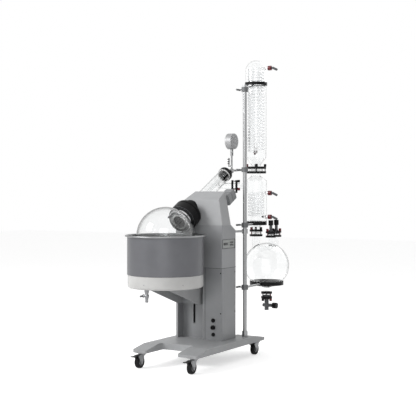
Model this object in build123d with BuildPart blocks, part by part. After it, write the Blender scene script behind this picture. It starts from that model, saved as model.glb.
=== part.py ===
"""Floor-standing rotary evaporator: tilted rotating flask over a lifting oil bath,
coil condensers on a support rod and a receiving flask. Millimetres, +Z up, front at -Y."""
import os
from math import asin, cos, radians, sin, sqrt

from build123d import *

os.makedirs("parts", exist_ok=True)

# Bath and receiver sizes come first: they set the overall box and so the origin
rim_r = 244
receiver_r = 150
bath_dx = -84
bath_dy = -278
receiver_dx = 156
receiver_dy = 579
chassis_x = -(bath_dx - rim_r + receiver_dx + receiver_r) / 2
chassis_y = -(bath_dy - rim_r + receiver_dy + receiver_r) / 2
bath_x = chassis_x + bath_dx
bath_y = chassis_y + bath_dy
receiver_x = chassis_x + receiver_dx
receiver_y = chassis_y + receiver_dy

# Fits
running = 0.05
free_gap = 0.3
turn_gap = 0.5

# Chassis plate on casters
chassis_width = 456
chassis_length = 840
chassis_thick = 40
chassis_low_z = 91
tip_thick = 17
tip_slope_length = 129
notch_depth = 183
notch_left_dx = -129
notch_right_dx = 90
chassis_corner_r = 14
chassis_edge = 3
chassis_top_z = chassis_low_z + chassis_thick

# Casters
caster_dx = 183
caster_dy = 383
caster_trail = 25
wheel_r = 37.5
wheel_width = 26
hub_r = 25
hub_dish = 4
hub_dish_r = 18
axle_r = 4
caster_plate_side = 62
caster_plate_thick = 3
race_r = 23
race_height = 8
fork_top_r = 22
fork_top_thick = 4
kingpin_r = 5
cheek_thick = 3
cheek_gap = 2
cheek_r = 13
pedal_pivot_forward = 23
pedal_pivot_z = 74
pedal_pivot_r = 3
pedal_boss_r = 5.5
pedal_length = 44
pedal_thick = 4
pedal_pad_width = 30
pedal_pad_length = 16

# Cabinet tower
wall = 3
tower_left_dx = -185
tower_right_dx = 155
tower_front_dy = -8
tower_rear_dy = 162
seam_z = 578
shoulder_z = 843
recess_left_dx = -168
recess_right_dx = 15
recess_depth = 60
slot_width = 15
slot_low_z = 221
slot_high_z = 410
seam_groove = 1.2
seam_groove_dx = 32
rear_shoulder_run = 62
rear_shoulder_drop = 38
tower_edge_r = 4

# Display recess on the right-hand side
display_low_z = 701
display_high_z = 752
display_front_dy = -2
display_rear_dy = 150
display_corner_r = 4
display_lap = 3
display_plate_thick = 3
screen_length = 62
screen_height = 20
screen_front_gap = 14
screen_recess = 1.5
key_field_length = 52
key_field_height = 34
key_field_rear_gap = 12

# Fittings on the lower front panel
fitting_dx = 91
button_z = 255
gland_z = 212
socket_z = 168
fitting_ring_r = 13
fitting_ring_out = 5
button_r = 9
button_out = 14
gland_r = 15
gland_out = 16
gland_nut_r = 12
gland_bore_r = 6
socket_r = 12
socket_out = 4
socket_hole_r = 7
socket_hole_depth = 3
panel_screw_r = 4
panel_screw_out = 2
panel_screw_front_dx = 144
panel_screw_high_z = 548
panel_screw_low_z = 300
panel_screw_side_dy = 150

# Head cover over the drive
head_rear_dy = 98
head_loft_z = 1100
head_loft_left_dx = -87.6
head_loft_right_dx = 105.6
head_loft_front_dy = 11.3
head_slope_z = 1003
head_slope_dy = 4

# Rotation axis: positions are measured along it from the flask centre
tilt = 28
flask_z = 784
flask_r = 176
flask_wall = 3.5
flask_neck_r = 40
flask_neck_wall = 4
flask_flange_r = 54
flask_flange_at = 181
flask_flange_thick = 10
clamp_ring_r = 74
clamp_face_r = 61
clamp_rim_inset = 5
clamp_lip_at = 176
clamp_lip_r = 41
clamp_end_at = 197
clamp_bolt_r = 5
clamp_bolt_ring_r = 64
clamp_bolt_at = 171
clamp_bolt_count = 3
shaft_hub_r = 56
collar_at = 207
collar_end_at = 290
collar_r = 91
collar_groove_depth = 3
collar_groove_width = 6
collar_groove_at = 262
collar_edge = 4
boss_r = 60
boss_end_at = 345
shaft_r = 25
shaft_bore_r = 20
shaft_end_at = 444
pulley_r = 44
pulley_at = 361
pulley_width = 20
pulley_lip = 2
motor_pulley_r = 22
belt_thick = 2.5
belt_width = 14

# Drive motor behind the head
motor_dx = 100
motor_side = 70
motor_corner_r = 14
motor_at = 449
motor_end_at = 541
motor_groove_at = 486
motor_groove_width = 6
motor_groove_depth = 3
motor_neck_r = 21
motor_neck_at = 396
motor_shaft_r = 7
motor_shaft_at = 356

# Vapour housing and its flanges
rear_ring_r = 52
rear_ring_at = 405
rear_ring_end_at = 470
vapour_seat_at = 446
vapour_r = 42
vapour_end_at = 800
glass_wall = 3
seal_flange_r = 47
seal_flange_end_at = 828
feed_tube_r = 11
feed_tube_wall = 2
feed_tube_start_at = 110
feed_tube_end_at = 850
duct_r = 24
duct_root_dy = 402
duct_z = 1084
duct_pair_at = 81

# Oil bath
bath_rim_z = 792
rim_bead_r = 6
rim_overhang = 20
pot_r = rim_r - rim_bead_r - rim_overhang
pot_wall = 2
pot_floor_z = 545
rim_flange_thick = 3
pot_gap = 10
shell_wall = 3
shell_r = pot_r + pot_gap + shell_wall
skirt_step = 3
skirt_r = shell_r - skirt_step
skirt_low_z = 476
skirt_high_z = 555
skirt_edge_r = 14
heater_r = 200
heater_hole_r = 110
heater_thick = 14
spout_dy = -476
spout_r = 9
spout_low_z = 403
spout_tip_length = 22
spout_neck_r = 10.5
spout_hex_r = 15
spout_hex_height = 14
valve_block_r = 14
valve_block_z = 440
spout_bore_r = 5
lever_pivot_r = 4
lever_pivot_out = 22
lever_length = 34
lever_thick = 4
lever_width = 10

# Lift
bracket_thick = 4
bracket_left_dx = -162
bracket_right_dx = -6
bracket_low_z = 350
bracket_knee_dy = -310
bracket_knee_z = 450
bracket_front_dy = -385
bracket_front_low_dy = -27
carriage_low_z = 346
carriage_high_z = 540
carriage_dy = 20
carriage_thick = 8
lift_arm_width = 11
lift_arm_low_z = 366
lift_arm_height = 20
lift_axis_dy = 96
lift_arm_end_r = 16
lift_rod_r = 8
lift_rod_top_z = 545
lift_tube_r = 18
lift_tube_low_z = 396

# Support rod, clamps and rings
rod_dx = 175
rod_dy = 243
rod_r = 12.5
rod_top_z = 1722
rod_cap_height = 8
rod_foot_r = 18
rod_foot_height = 34
boss_clamp_r = 21
boss_clamp_height = 30
arm_r = 7
handle_stem_r = 4
handle_stem_length = 26
handle_bar_r = 6
handle_bar_length = 44
strut_z = 799
strut_dx = 133
strut_flange_r = 17
strut_flange_thick = 5
hoop_clamp_z = 1700
hoop_z = 1764
hoop_height = 20
hoop_thick = 5
gauge_arm_z = 1190
lower_ring_clamp_z = 838
ring_r = 71
ring_low_z = 829
receiver_ring_z = 443
receiver_ring_height = 25
receiver_ring_r = 112

# Condensers
condenser_dx = 109
condenser_dy = 518
upper_r = 69
dome_z = 1921
dome_low_z = 1865
upper_shoulder_z = 1252
upper_neck_r = 30
upper_shoulder_run = 26
lower_r = 72
lower_top_z = 1121
lower_low_z = 854
lower_cone_z = 816
lower_neck_r = 26
lower_shoulder_run = 17
upper_port_z = 1864
upper_out_z = 1318
upper_out_angle = 121
lower_port_z = 1041
lower_out_z = 884
port_r = 12
port_wall = 2.5
port_reach = 104
cap_r = 15
cap_thick = 22
cap_start = 92
barb_r = 7
barb_bore_r = 4
barb_reach = 160
barb_rib = 2
barb_rib_width = 6
barb_rib_count = 3
upper_coil_r = 50
lower_coil_r = 48
coil_tube_r = 6
upper_coil_turns = 26
lower_coil_turns = 8

# Flange pairs: plate radius, plate thickness, glass flange thickness
pair1_z = 1193.5
pair1_r = 67
pair1_thick = 14.5
pair1_glass = 8
pair1_glass_r = 46
pair2_z = 776.5
pair2_r = 43
pair2_thick = 13
pair2_glass = 9
pair2_glass_r = 30
small_pair_z = 768
small_pair_r = 34
small_pair_thick = 12
small_pair_glass = 8
small_pair_glass_r = 21
outlet_pair_z = 362
outlet_pair_r = 37
outlet_pair_thick = 13
outlet_pair_glass = 9
outlet_pair_glass_r = 24
duct_pair_r = 43
duct_pair_thick = 13
duct_pair_glass = 7
duct_pair_glass_r = 30
small_neck_r = 14
outlet_neck_r = 18
stud_r = 3
knob_r = 9.5
knob_height = 17
stud_inset = 7

# Receiving flask
receiver_z = 560
receiver_wall = 4
near_neck_dx = 55
near_neck_dy = -45
far_neck_dx = 44
far_neck_dy = 56
valve_stem_r = 10
valve_stem_top_z = 827
valve_knob_r = 16
valve_knob_height = 34
valve_knob_gap = 0.4
outlet_body_r = 14
outlet_body_low_z = 262
outlet_axis_z = 294
outlet_barrel_r = 11
outlet_barrel_end = 46
outlet_barrel_back = 26
outlet_knob_r = 19
outlet_knob_length = 30
outlet_bore_r = 7

# Gauge
gauge_dx = -61
gauge_dy = 490
gauge_z = 1387
gauge_r = 53
gauge_depth = 47
gauge_bezel = 5
gauge_well = 7
gauge_stalk_r = 6
gauge_hex_r = 12
gauge_hex_low_z = 1290
gauge_stalk_low_z = 1172
gauge_clamp_r = 13
gauge_clamp_height = 26
vacuum_barb_out = 22
vacuum_barb_low_z = 1222
vacuum_barb_top_z = 1276
vacuum_barb_r = 5
needle_length = 36
needle_tail = 12
needle_width = 3
needle_thick = 1
needle_hub_r = 5
needle_pin_r = 2

# Worked-out positions
axis_dir = (0, cos(radians(tilt)), sin(radians(tilt)))
flask_centre = (bath_x, bath_y, flask_z)
left_x = chassis_x + tower_left_dx
right_x = chassis_x + tower_right_dx
front_y = chassis_y + tower_front_dy
rear_y = chassis_y + tower_rear_dy
recess_left_x = chassis_x + recess_left_dx
recess_right_x = chassis_x + recess_right_dx
recess_back_y = front_y + recess_depth
rod_x = chassis_x + rod_dx
rod_y = chassis_y + rod_dy
condenser_x = chassis_x + condenser_dx
condenser_y = chassis_y + condenser_dy
gauge_x = chassis_x + gauge_dx
gauge_y = chassis_y + gauge_dy
duct_root_y = chassis_y + duct_root_dy
lift_axis_y = chassis_y + lift_axis_dy


def along(distance):
    """Plane square to the rotation axis, at a distance from the flask centre."""
    origin = Vector(*flask_centre) + Vector(*axis_dir) * distance
    return Plane(origin=origin, x_dir=(1, 0, 0), z_dir=axis_dir)


def axis_profile():
    """Plane through the rotation axis for revolved profiles: X is radius, Y runs along the axis."""
    return Plane(origin=flask_centre, x_dir=(1, 0, 0), z_dir=(0, -axis_dir[2], axis_dir[1]))


def upright_profile(x, y):
    """Plane through an upright axis for revolved profiles: X is radius, Y is height."""
    return Plane(origin=(x, y, 0), x_dir=(1, 0, 0), z_dir=(0, -1, 0))


def level(x, y, z):
    """Level plane with its origin at a point."""
    return Plane(origin=(x, y, z), x_dir=(1, 0, 0), z_dir=(0, 0, 1))


def facing(x, y, z, direction):
    """Plane at a point, facing a direction."""
    return Plane(origin=(x, y, z), z_dir=direction)


rotation_axis = Axis(flask_centre, axis_dir)
condenser_axis = Axis((condenser_x, condenser_y, 0), (0, 0, 1))
bath_axis = Axis((bath_x, bath_y, 0), (0, 0, 1))

# Chassis: side profile drawn out sideways, then notched front and rear
with BuildPart() as chassis:
    with BuildSketch(Plane.YZ.offset(chassis_x - chassis_width / 2)):
        with BuildLine():
            half = chassis_length / 2
            Polyline(
                (chassis_y - half, chassis_low_z),
                (chassis_y + half, chassis_low_z),
                (chassis_y + half, chassis_low_z + tip_thick),
                (chassis_y + half - tip_slope_length, chassis_top_z),
                (chassis_y - half + tip_slope_length, chassis_top_z),
                (chassis_y - half, chassis_low_z + tip_thick),
                close=True,
            )
        make_face()
    extrude(amount=chassis_width)
    notch_width = notch_right_dx - notch_left_dx
    notch_x = chassis_x + (notch_left_dx + notch_right_dx) / 2
    with BuildSketch(Plane.XY.offset(chassis_low_z)):
        with Locations(
            (notch_x, chassis_y - chassis_length / 2 + notch_depth / 2),
            (notch_x, chassis_y + chassis_length / 2 - notch_depth / 2),
        ):
            Rectangle(notch_width, notch_depth)
    extrude(amount=chassis_thick, mode=Mode.SUBTRACT)
    fillet(chassis.edges().filter_by(Axis.Z), radius=chassis_corner_r)
    chamfer(chassis.faces().sort_by(Axis.Z)[-1].edges(), length=chassis_edge)

# Casters: plates and kingpins stay on the chassis
caster_spots = {
    "front_left": (chassis_x - caster_dx, chassis_y - caster_dy),
    "front_right": (chassis_x + caster_dx, chassis_y - caster_dy),
    "rear_left": (chassis_x - caster_dx, chassis_y + caster_dy),
    "rear_right": (chassis_x + caster_dx, chassis_y + caster_dy),
}
caster_plate_z = chassis_low_z - caster_plate_thick
race_low_z = caster_plate_z - race_height
fork_top_z = race_low_z - free_gap
fork_low_z = fork_top_z - fork_top_thick
with BuildPart() as caster_plates:
    for spot in caster_spots.values():
        with BuildSketch(level(*spot, caster_plate_z)):
            RectangleRounded(caster_plate_side, caster_plate_side, kingpin_r)
        extrude(amount=caster_plate_thick)
        with BuildSketch(level(*spot, race_low_z)):
            Circle(race_r)
        extrude(amount=race_height)
        with BuildSketch(level(*spot, fork_low_z)):
            Circle(kingpin_r)
        extrude(amount=fork_top_z - fork_low_z + race_height)

wheel_half = wheel_width / 2
cheek_in = wheel_half + cheek_gap
cheek_out = cheek_in + cheek_thick
for name, spot in caster_spots.items():
    wheel_x = spot[0]
    wheel_y = spot[1] - caster_trail
    pivot_y = wheel_y - pedal_pivot_forward
    with BuildPart() as fork:
        with BuildSketch(level(*spot, fork_low_z)):
            Circle(fork_top_r)
            Circle(kingpin_r + running, mode=Mode.SUBTRACT)
        extrude(amount=fork_top_thick)
        for side in (-cheek_out, cheek_in):
            with BuildSketch(Plane.YZ.offset(wheel_x + side)):
                with BuildLine():
                    Polyline(
                        (wheel_y + axle_r, wheel_r - cheek_r),
                        (wheel_y + cheek_r, wheel_r),
                        (spot[1] + axle_r, fork_top_z),
                        (wheel_y, fork_top_z),
                        (pivot_y - pedal_boss_r, pedal_pivot_z + pedal_boss_r),
                        (pivot_y - pedal_boss_r, pedal_pivot_z - pedal_boss_r),
                        (wheel_y - cheek_r, wheel_r),
                        (wheel_y - axle_r, wheel_r - cheek_r),
                        close=True,
                    )
                make_face()
                with Locations((pivot_y, pedal_pivot_z)):
                    Circle(pedal_pivot_r + running, mode=Mode.SUBTRACT)
            extrude(amount=cheek_thick)
        with BuildSketch(Plane.YZ.offset(wheel_x - cheek_out)):
            with Locations((wheel_y, wheel_r)):
                Circle(axle_r)
        extrude(amount=cheek_out * 2)
    fork.part.label = "fork_" + name
    export_step(fork.part, "parts/fork_" + name + ".step")

    with BuildPart() as wheel:
        with BuildSketch(Plane.YZ.offset(wheel_x - wheel_half)):
            with Locations((wheel_y, wheel_r)):
                Circle(wheel_r)
                Circle(axle_r + running, mode=Mode.SUBTRACT)
        extrude(amount=wheel_width)
        fillet(wheel.edges().filter_by(GeomType.CIRCLE).sort_by(SortBy.RADIUS)[-2:], radius=hub_dish)
        for face_x in (wheel_x - wheel_half, wheel_x + wheel_half - hub_dish):
            with BuildSketch(Plane.YZ.offset(face_x)):
                with Locations((wheel_y, wheel_r)):
                    Circle(hub_r)
                    Circle(hub_dish_r / 2, mode=Mode.SUBTRACT)
            extrude(amount=hub_dish, mode=Mode.SUBTRACT)
    wheel.part.label = "wheel_" + name
    export_step(wheel.part, "parts/wheel_" + name + ".step")

    with BuildPart() as pedal:
        with BuildSketch(Plane.YZ.offset(wheel_x - cheek_out)):
            with Locations((pivot_y, pedal_pivot_z)):
                Circle(pedal_pivot_r)
        extrude(amount=cheek_out * 2)
        with BuildSketch(Plane.YZ.offset(wheel_x - wheel_half)):
            with Locations((pivot_y, pedal_pivot_z)):
                Circle(pedal_boss_r)
            with Locations((pivot_y - pedal_length / 2, pedal_pivot_z + pedal_thick / 2)):
                Rectangle(pedal_length, pedal_thick)
        extrude(amount=wheel_width)
        with BuildSketch(level(wheel_x, pivot_y - pedal_length, pedal_pivot_z)):
            RectangleRounded(pedal_pad_width, pedal_pad_length, pedal_pivot_r)
        extrude(amount=pedal_thick)
    pedal.part.label = "pedal_" + name
    export_step(pedal.part, "parts/pedal_" + name + ".step")

# Lower cabinet: sheet-metal box with the lift recess in its front
with BuildPart() as lower_cabinet:
    with BuildSketch(Plane.XY.offset(chassis_top_z)):
        with BuildLine():
            Polyline(
                (left_x, front_y),
                (recess_left_x, front_y),
                (recess_left_x, recess_back_y),
                (recess_right_x, recess_back_y),
                (recess_right_x, front_y),
                (right_x, front_y),
                (right_x, rear_y),
                (left_x, rear_y),
                close=True,
            )
        make_face()
    extrude(amount=seam_z - chassis_top_z)
    outer_corners = lower_cabinet.edges().filter_by(Axis.Z)
    chamfer(outer_corners.group_by(Axis.X)[-1] + outer_corners.group_by(Axis.X)[0], length=tower_edge_r)
    with BuildSketch(Plane.XY.offset(chassis_top_z + wall)):
        with BuildLine():
            Polyline(
                (left_x + wall, front_y + wall),
                (recess_left_x - wall, front_y + wall),
                (recess_left_x - wall, recess_back_y + wall),
                (recess_right_x + wall, recess_back_y + wall),
                (recess_right_x + wall, front_y + wall),
                (right_x - wall, front_y + wall),
                (right_x - wall, rear_y - wall),
                (left_x + wall, rear_y - wall),
                close=True,
            )
        make_face()
    extrude(amount=seam_z - chassis_top_z - wall * 2, mode=Mode.SUBTRACT)
    with BuildSketch(Plane.XZ.offset(-recess_back_y)):
        with Locations((bath_x, (slot_low_z + slot_high_z) / 2)):
            Rectangle(slot_width, slot_high_z - slot_low_z)
    extrude(amount=-wall, mode=Mode.SUBTRACT)
    with BuildSketch(Plane.XZ.offset(-front_y)):
        with Locations((chassis_x + seam_groove_dx, (chassis_top_z + seam_z) / 2)):
            Rectangle(seam_groove, seam_z - chassis_top_z)
    extrude(amount=-seam_groove, mode=Mode.SUBTRACT)
    with BuildSketch(Plane.XZ.offset(-front_y)):
        with Locations((chassis_x + fitting_dx, button_z)):
            Circle(button_r + running)
        with Locations((chassis_x + fitting_dx, gland_z)):
            Circle(gland_bore_r)
    extrude(amount=-wall, mode=Mode.SUBTRACT)

# Upper cabinet with the sloped rear shoulder and the display opening
collar_plane = along(collar_at)
with BuildPart() as upper_cabinet:
    with BuildSketch(Plane.YZ.offset(left_x)):
        with BuildLine():
            Polyline(
                (front_y, seam_z),
                (rear_y, seam_z),
                (rear_y, shoulder_z - rear_shoulder_drop),
                (rear_y - rear_shoulder_run, shoulder_z),
                (front_y, shoulder_z),
                close=True,
            )
        make_face()
    extrude(amount=right_x - left_x)
    chamfer(upper_cabinet.edges().filter_by(Axis.Z), length=tower_edge_r)
    with BuildSketch(Plane.YZ.offset(left_x + wall)):
        with BuildLine():
            Polyline(
                (front_y + wall, seam_z + wall),
                (rear_y - wall, seam_z + wall),
                (rear_y - wall, shoulder_z - rear_shoulder_drop - wall),
                (rear_y - rear_shoulder_run - wall, shoulder_z - wall),
                (front_y + wall, shoulder_z - wall),
                close=True,
            )
        make_face()
    extrude(amount=right_x - left_x - wall * 2, mode=Mode.SUBTRACT)
    display_mid_y = chassis_y + (display_front_dy + display_rear_dy) / 2
    display_length = display_rear_dy - display_front_dy
    display_mid_z = (display_low_z + display_high_z) / 2
    display_height = display_high_z - display_low_z
    with BuildSketch(Plane.YZ.offset(right_x - wall)):
        with Locations((display_mid_y, display_mid_z)):
            RectangleRounded(display_length, display_height, display_corner_r)
    extrude(amount=wall, mode=Mode.SUBTRACT)
    with BuildSketch(collar_plane):
        Circle(collar_r + free_gap)
    extrude(amount=collar_end_at - collar_at, mode=Mode.SUBTRACT)

# Display plate behind the opening, with a screen window and a key field standing on it
with BuildPart() as display_panel:
    with BuildSketch(Plane.YZ.offset(right_x - wall - display_plate_thick)):
        with Locations((display_mid_y, display_mid_z)):
            Rectangle(display_length + display_lap * 2, display_height + display_lap * 2)
    extrude(amount=display_plate_thick)
    screen_y = chassis_y + display_front_dy + screen_front_gap + screen_length / 2
    with BuildSketch(Plane.YZ.offset(right_x - wall - screen_recess)):
        with Locations((screen_y, display_mid_z)):
            Rectangle(screen_length, screen_height)
    extrude(amount=screen_recess, mode=Mode.SUBTRACT)
    key_y = chassis_y + display_rear_dy - key_field_rear_gap - key_field_length / 2
    with BuildSketch(Plane.YZ.offset(right_x - wall)):
        with Locations((key_y, display_mid_z)):
            RectangleRounded(key_field_length, key_field_height, display_corner_r)
    extrude(amount=screen_recess)

# Head cover: tapered box cut off by a slope parallel to the rotation axis
head_rear_y = chassis_y + head_rear_dy
loft_left_x = chassis_x + head_loft_left_dx
loft_right_x = chassis_x + head_loft_right_dx
loft_front_y = chassis_y + head_loft_front_dy
slope_origin = Vector(chassis_x, chassis_y + head_slope_dy, head_slope_z)
slope_normal = (0, -axis_dir[2], axis_dir[1])


def box_between(x_low, x_high, y_low, y_high):
    """Rectangle between two corners in the plane of the open sketch."""
    with Locations(((x_low + x_high) / 2, (y_low + y_high) / 2)):
        Rectangle(x_high - x_low, y_high - y_low)


with BuildPart() as head_space:
    with BuildSketch(Plane.XY.offset(shoulder_z)):
        box_between(left_x + wall, right_x - wall, front_y + wall, head_rear_y - wall)
    with BuildSketch(Plane.XY.offset(head_loft_z)):
        box_between(loft_left_x + wall, loft_right_x - wall, loft_front_y + wall, head_rear_y - wall)
    loft()
    split(bisect_by=Plane(origin=slope_origin, z_dir=slope_normal).offset(-wall), keep=Keep.BOTTOM)

with BuildPart() as head_cover:
    with BuildSketch(Plane.XY.offset(shoulder_z)):
        box_between(left_x, right_x, front_y, head_rear_y)
    with BuildSketch(Plane.XY.offset(head_loft_z)):
        box_between(loft_left_x, loft_right_x, loft_front_y, head_rear_y)
    loft()
    split(bisect_by=Plane(origin=slope_origin, z_dir=slope_normal), keep=Keep.BOTTOM)
    chamfer(head_cover.faces().sort_by(Axis.Z)[-1].edges(), length=tower_edge_r / 2)
    add(head_space.part, mode=Mode.SUBTRACT)
    with BuildSketch(collar_plane):
        Circle(collar_r + free_gap)
    extrude(amount=collar_end_at - collar_at, mode=Mode.SUBTRACT)
    with BuildSketch(along(collar_end_at)):
        Circle(boss_r)
    extrude(amount=boss_end_at - collar_end_at, mode=Mode.SUBTRACT)
    with BuildSketch(along(rear_ring_at)):
        Circle(rear_ring_r)
    extrude(amount=rear_ring_end_at - rear_ring_at, mode=Mode.SUBTRACT)
    with BuildSketch(along(motor_neck_at)):
        with Locations((motor_dx - bath_dx, 0)):
            Circle(motor_neck_r)
    extrude(amount=motor_at - motor_neck_at, mode=Mode.SUBTRACT)

# Bearing housing: black collar with a grooved rim, and a boss that runs into the head
with BuildPart() as bearing_housing:
    with BuildSketch(collar_plane):
        Circle(collar_r)
    extrude(amount=collar_end_at - collar_at)
    chamfer(bearing_housing.edges().filter_by(GeomType.CIRCLE), length=collar_edge)
    with BuildSketch(along(collar_groove_at)):
        Circle(collar_r)
        Circle(collar_r - collar_groove_depth, mode=Mode.SUBTRACT)
    extrude(amount=collar_groove_width, mode=Mode.SUBTRACT)
    with BuildSketch(along(collar_end_at)):
        Circle(boss_r)
    extrude(amount=boss_end_at - collar_end_at)
    with BuildSketch(collar_plane):
        Circle(shaft_r + running)
    extrude(amount=boss_end_at - collar_at, mode=Mode.SUBTRACT)

# Drive shaft: flanged hollow shaft with the driven pulley on it
with BuildPart() as drive_shaft:
    with BuildSketch(axis_profile()):
        with BuildLine():
            hub_start = flask_flange_at + flask_flange_thick
            hub_end = collar_at - turn_gap
            Polyline(
                (shaft_bore_r, hub_start),
                (shaft_hub_r, hub_start),
                (shaft_hub_r, hub_end),
                (shaft_r, hub_end),
                (shaft_r, pulley_at),
                (pulley_r + pulley_lip, pulley_at),
                (pulley_r + pulley_lip, pulley_at + pulley_lip),
                (pulley_r, pulley_at + pulley_lip),
                (pulley_r, pulley_at + pulley_width - pulley_lip),
                (pulley_r + pulley_lip, pulley_at + pulley_width - pulley_lip),
                (pulley_r + pulley_lip, pulley_at + pulley_width),
                (shaft_r, pulley_at + pulley_width),
                (shaft_r, shaft_end_at),
                (shaft_bore_r, shaft_end_at),
                close=True,
            )
        make_face()
    revolve(axis=rotation_axis)

# Motor pulley on its shaft, and the belt round both pulleys
pulley_gap_x = motor_dx - bath_dx
with BuildPart() as motor_pulley:
    with BuildSketch(along(pulley_at)):
        with Locations((pulley_gap_x, 0)):
            Circle(motor_pulley_r + pulley_lip)
    extrude(amount=pulley_width)
    with BuildSketch(along(pulley_at + pulley_lip)):
        with Locations((pulley_gap_x, 0)):
            Circle(motor_pulley_r + pulley_lip)
            Circle(motor_pulley_r, mode=Mode.SUBTRACT)
    extrude(amount=pulley_width - pulley_lip * 2, mode=Mode.SUBTRACT)
    with BuildSketch(along(motor_shaft_at)):
        with Locations((pulley_gap_x, 0)):
            Circle(motor_shaft_r)
    extrude(amount=motor_neck_at - motor_shaft_at + motor_shaft_r)

belt_at = pulley_at + (pulley_width - belt_width) / 2


def belt_outline(extra):
    """Face round both pulleys, larger than them by extra."""
    big = pulley_r + free_gap + extra
    small = motor_pulley_r + free_gap + extra
    lean = (big - small) / pulley_gap_x
    rise = sqrt(1 - lean * lean)
    with Locations((0, 0)):
        Circle(big)
    with Locations((pulley_gap_x, 0)):
        Circle(small)
    Polygon(
        (big * lean, big * rise),
        (pulley_gap_x + small * lean, small * rise),
        (pulley_gap_x + small * lean, -small * rise),
        (big * lean, -big * rise),
        align=None,
    )


with BuildPart() as drive_belt:
    with BuildSketch(along(belt_at)):
        belt_outline(belt_thick)
    extrude(amount=belt_width)
    with BuildSketch(along(belt_at)):
        belt_outline(0)
    extrude(amount=belt_width, mode=Mode.SUBTRACT)

# Drive motor behind the head, parallel to the rotation axis
with BuildPart() as drive_motor:
    with BuildSketch(along(motor_at)):
        with Locations((pulley_gap_x, 0)):
            RectangleRounded(motor_side, motor_side, motor_corner_r)
    extrude(amount=motor_end_at - motor_at)
    chamfer(drive_motor.faces().sort_by(Axis(flask_centre, axis_dir))[-1].edges(), length=collar_edge)
    with BuildSketch(along(motor_groove_at)):
        with Locations((pulley_gap_x, 0)):
            RectangleRounded(motor_side, motor_side, motor_corner_r)
            inner_side = motor_side - motor_groove_depth * 2
            RectangleRounded(inner_side, inner_side, motor_corner_r - motor_groove_depth, mode=Mode.SUBTRACT)
    extrude(amount=motor_groove_width, mode=Mode.SUBTRACT)
    with BuildSketch(along(motor_neck_at)):
        with Locations((pulley_gap_x, 0)):
            Circle(motor_neck_r)
    extrude(amount=motor_at - motor_neck_at)
    with BuildSketch(along(motor_neck_at)):
        with Locations((pulley_gap_x, 0)):
            Circle(motor_shaft_r + running)
    extrude(amount=motor_shaft_r * 2, mode=Mode.SUBTRACT)

# Evaporating flask: a glass ball with a flanged neck, all on the rotation axis
flask_inner_r = flask_r - flask_wall
neck_inner_r = flask_neck_r - flask_neck_wall
neck_root_at = sqrt(flask_r * flask_r - flask_neck_r * flask_neck_r)
neck_inner_root_at = sqrt(flask_inner_r * flask_inner_r - neck_inner_r * neck_inner_r)
flange_end_at = flask_flange_at + flask_flange_thick
with BuildPart() as evaporating_flask:
    with BuildSketch(axis_profile()):
        with BuildLine():
            ThreePointArc((0, -flask_r), (flask_r, 0), (flask_neck_r, neck_root_at))
            Polyline(
                (flask_neck_r, neck_root_at),
                (flask_neck_r, flask_flange_at),
                (flask_flange_r, flask_flange_at),
                (flask_flange_r, flange_end_at),
                (neck_inner_r, flange_end_at),
                (neck_inner_r, neck_inner_root_at),
            )
            ThreePointArc((neck_inner_r, neck_inner_root_at), (flask_inner_r, 0), (0, -flask_inner_r))
            Line((0, -flask_inner_r), (0, -flask_r))
        make_face()
    revolve(axis=rotation_axis)

# Clamp ring that holds the flask flange to the shaft flange
with BuildPart() as flask_clamp:
    with BuildSketch(axis_profile()):
        with BuildLine():
            Polyline(
                (clamp_lip_r, clamp_lip_at),
                (clamp_face_r, clamp_lip_at),
                (clamp_ring_r, clamp_lip_at + clamp_rim_inset),
                (clamp_ring_r, clamp_end_at - clamp_rim_inset),
                (clamp_face_r, clamp_end_at),
                (shaft_hub_r, clamp_end_at),
                (shaft_hub_r, flange_end_at),
                (flask_flange_r, flange_end_at),
                (flask_flange_r, flask_flange_at),
                (clamp_lip_r, flask_flange_at),
                close=True,
            )
        make_face()
    revolve(axis=rotation_axis)
    with BuildSketch(along(clamp_bolt_at)):
        with PolarLocations(clamp_bolt_ring_r, clamp_bolt_count):
            Circle(clamp_bolt_r)
    extrude(amount=clamp_end_at - clamp_bolt_at)

# Rear ring in the head's rear wall: shaft seal and seat of the vapour housing
with BuildPart() as rear_ring:
    with BuildSketch(axis_profile()):
        with BuildLine():
            Polyline(
                (shaft_r + running, rear_ring_at),
                (rear_ring_r, rear_ring_at),
                (rear_ring_r, rear_ring_end_at),
                (vapour_r, rear_ring_end_at),
                (vapour_r, vapour_seat_at),
                (shaft_r + running, vapour_seat_at),
                close=True,
            )
        make_face()
    revolve(axis=rotation_axis)

# Flange pairs: each holds two glass flanges between two plates
duct_run = (condenser_x - bath_x, condenser_y - duct_root_y, 0)
duct_length = sqrt(duct_run[0] * duct_run[0] + duct_run[1] * duct_run[1])
duct_dir = (duct_run[0] / duct_length, duct_run[1] / duct_length, 0)
duct_pair_plane = facing(
    bath_x + duct_dir[0] * duct_pair_at, duct_root_y + duct_dir[1] * duct_pair_at, duct_z, duct_dir
)
near_x = receiver_x + near_neck_dx
near_y = receiver_y + near_neck_dy
far_x = receiver_x + far_neck_dx
far_y = receiver_y + far_neck_dy


class FlangePair:
    """Where a flange pair sits, its sizes, and which of its stud knobs are red."""

    def __init__(self, plane, plate_r, plate_t, glass_t, glass_r, bore_r, studs, red):
        self.plane = plane
        self.plate_r = plate_r
        self.plate_t = plate_t
        self.glass_t = glass_t
        self.glass_r = glass_r
        self.bore_r = bore_r
        self.studs = studs
        self.red = red

    def plate_planes(self):
        """Planes at the near faces of the two plates, each facing away from the joint."""
        low = self.plane.offset(-self.glass_t - self.plate_t)
        high = self.plane.offset(self.glass_t)
        return (low, high)

    def stud_points(self):
        """Stud centres in the pair's own plane."""
        ring = self.plate_r - stud_inset
        return [(ring * cos(radians(a)), ring * sin(radians(a))) for a in self.studs]


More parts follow.
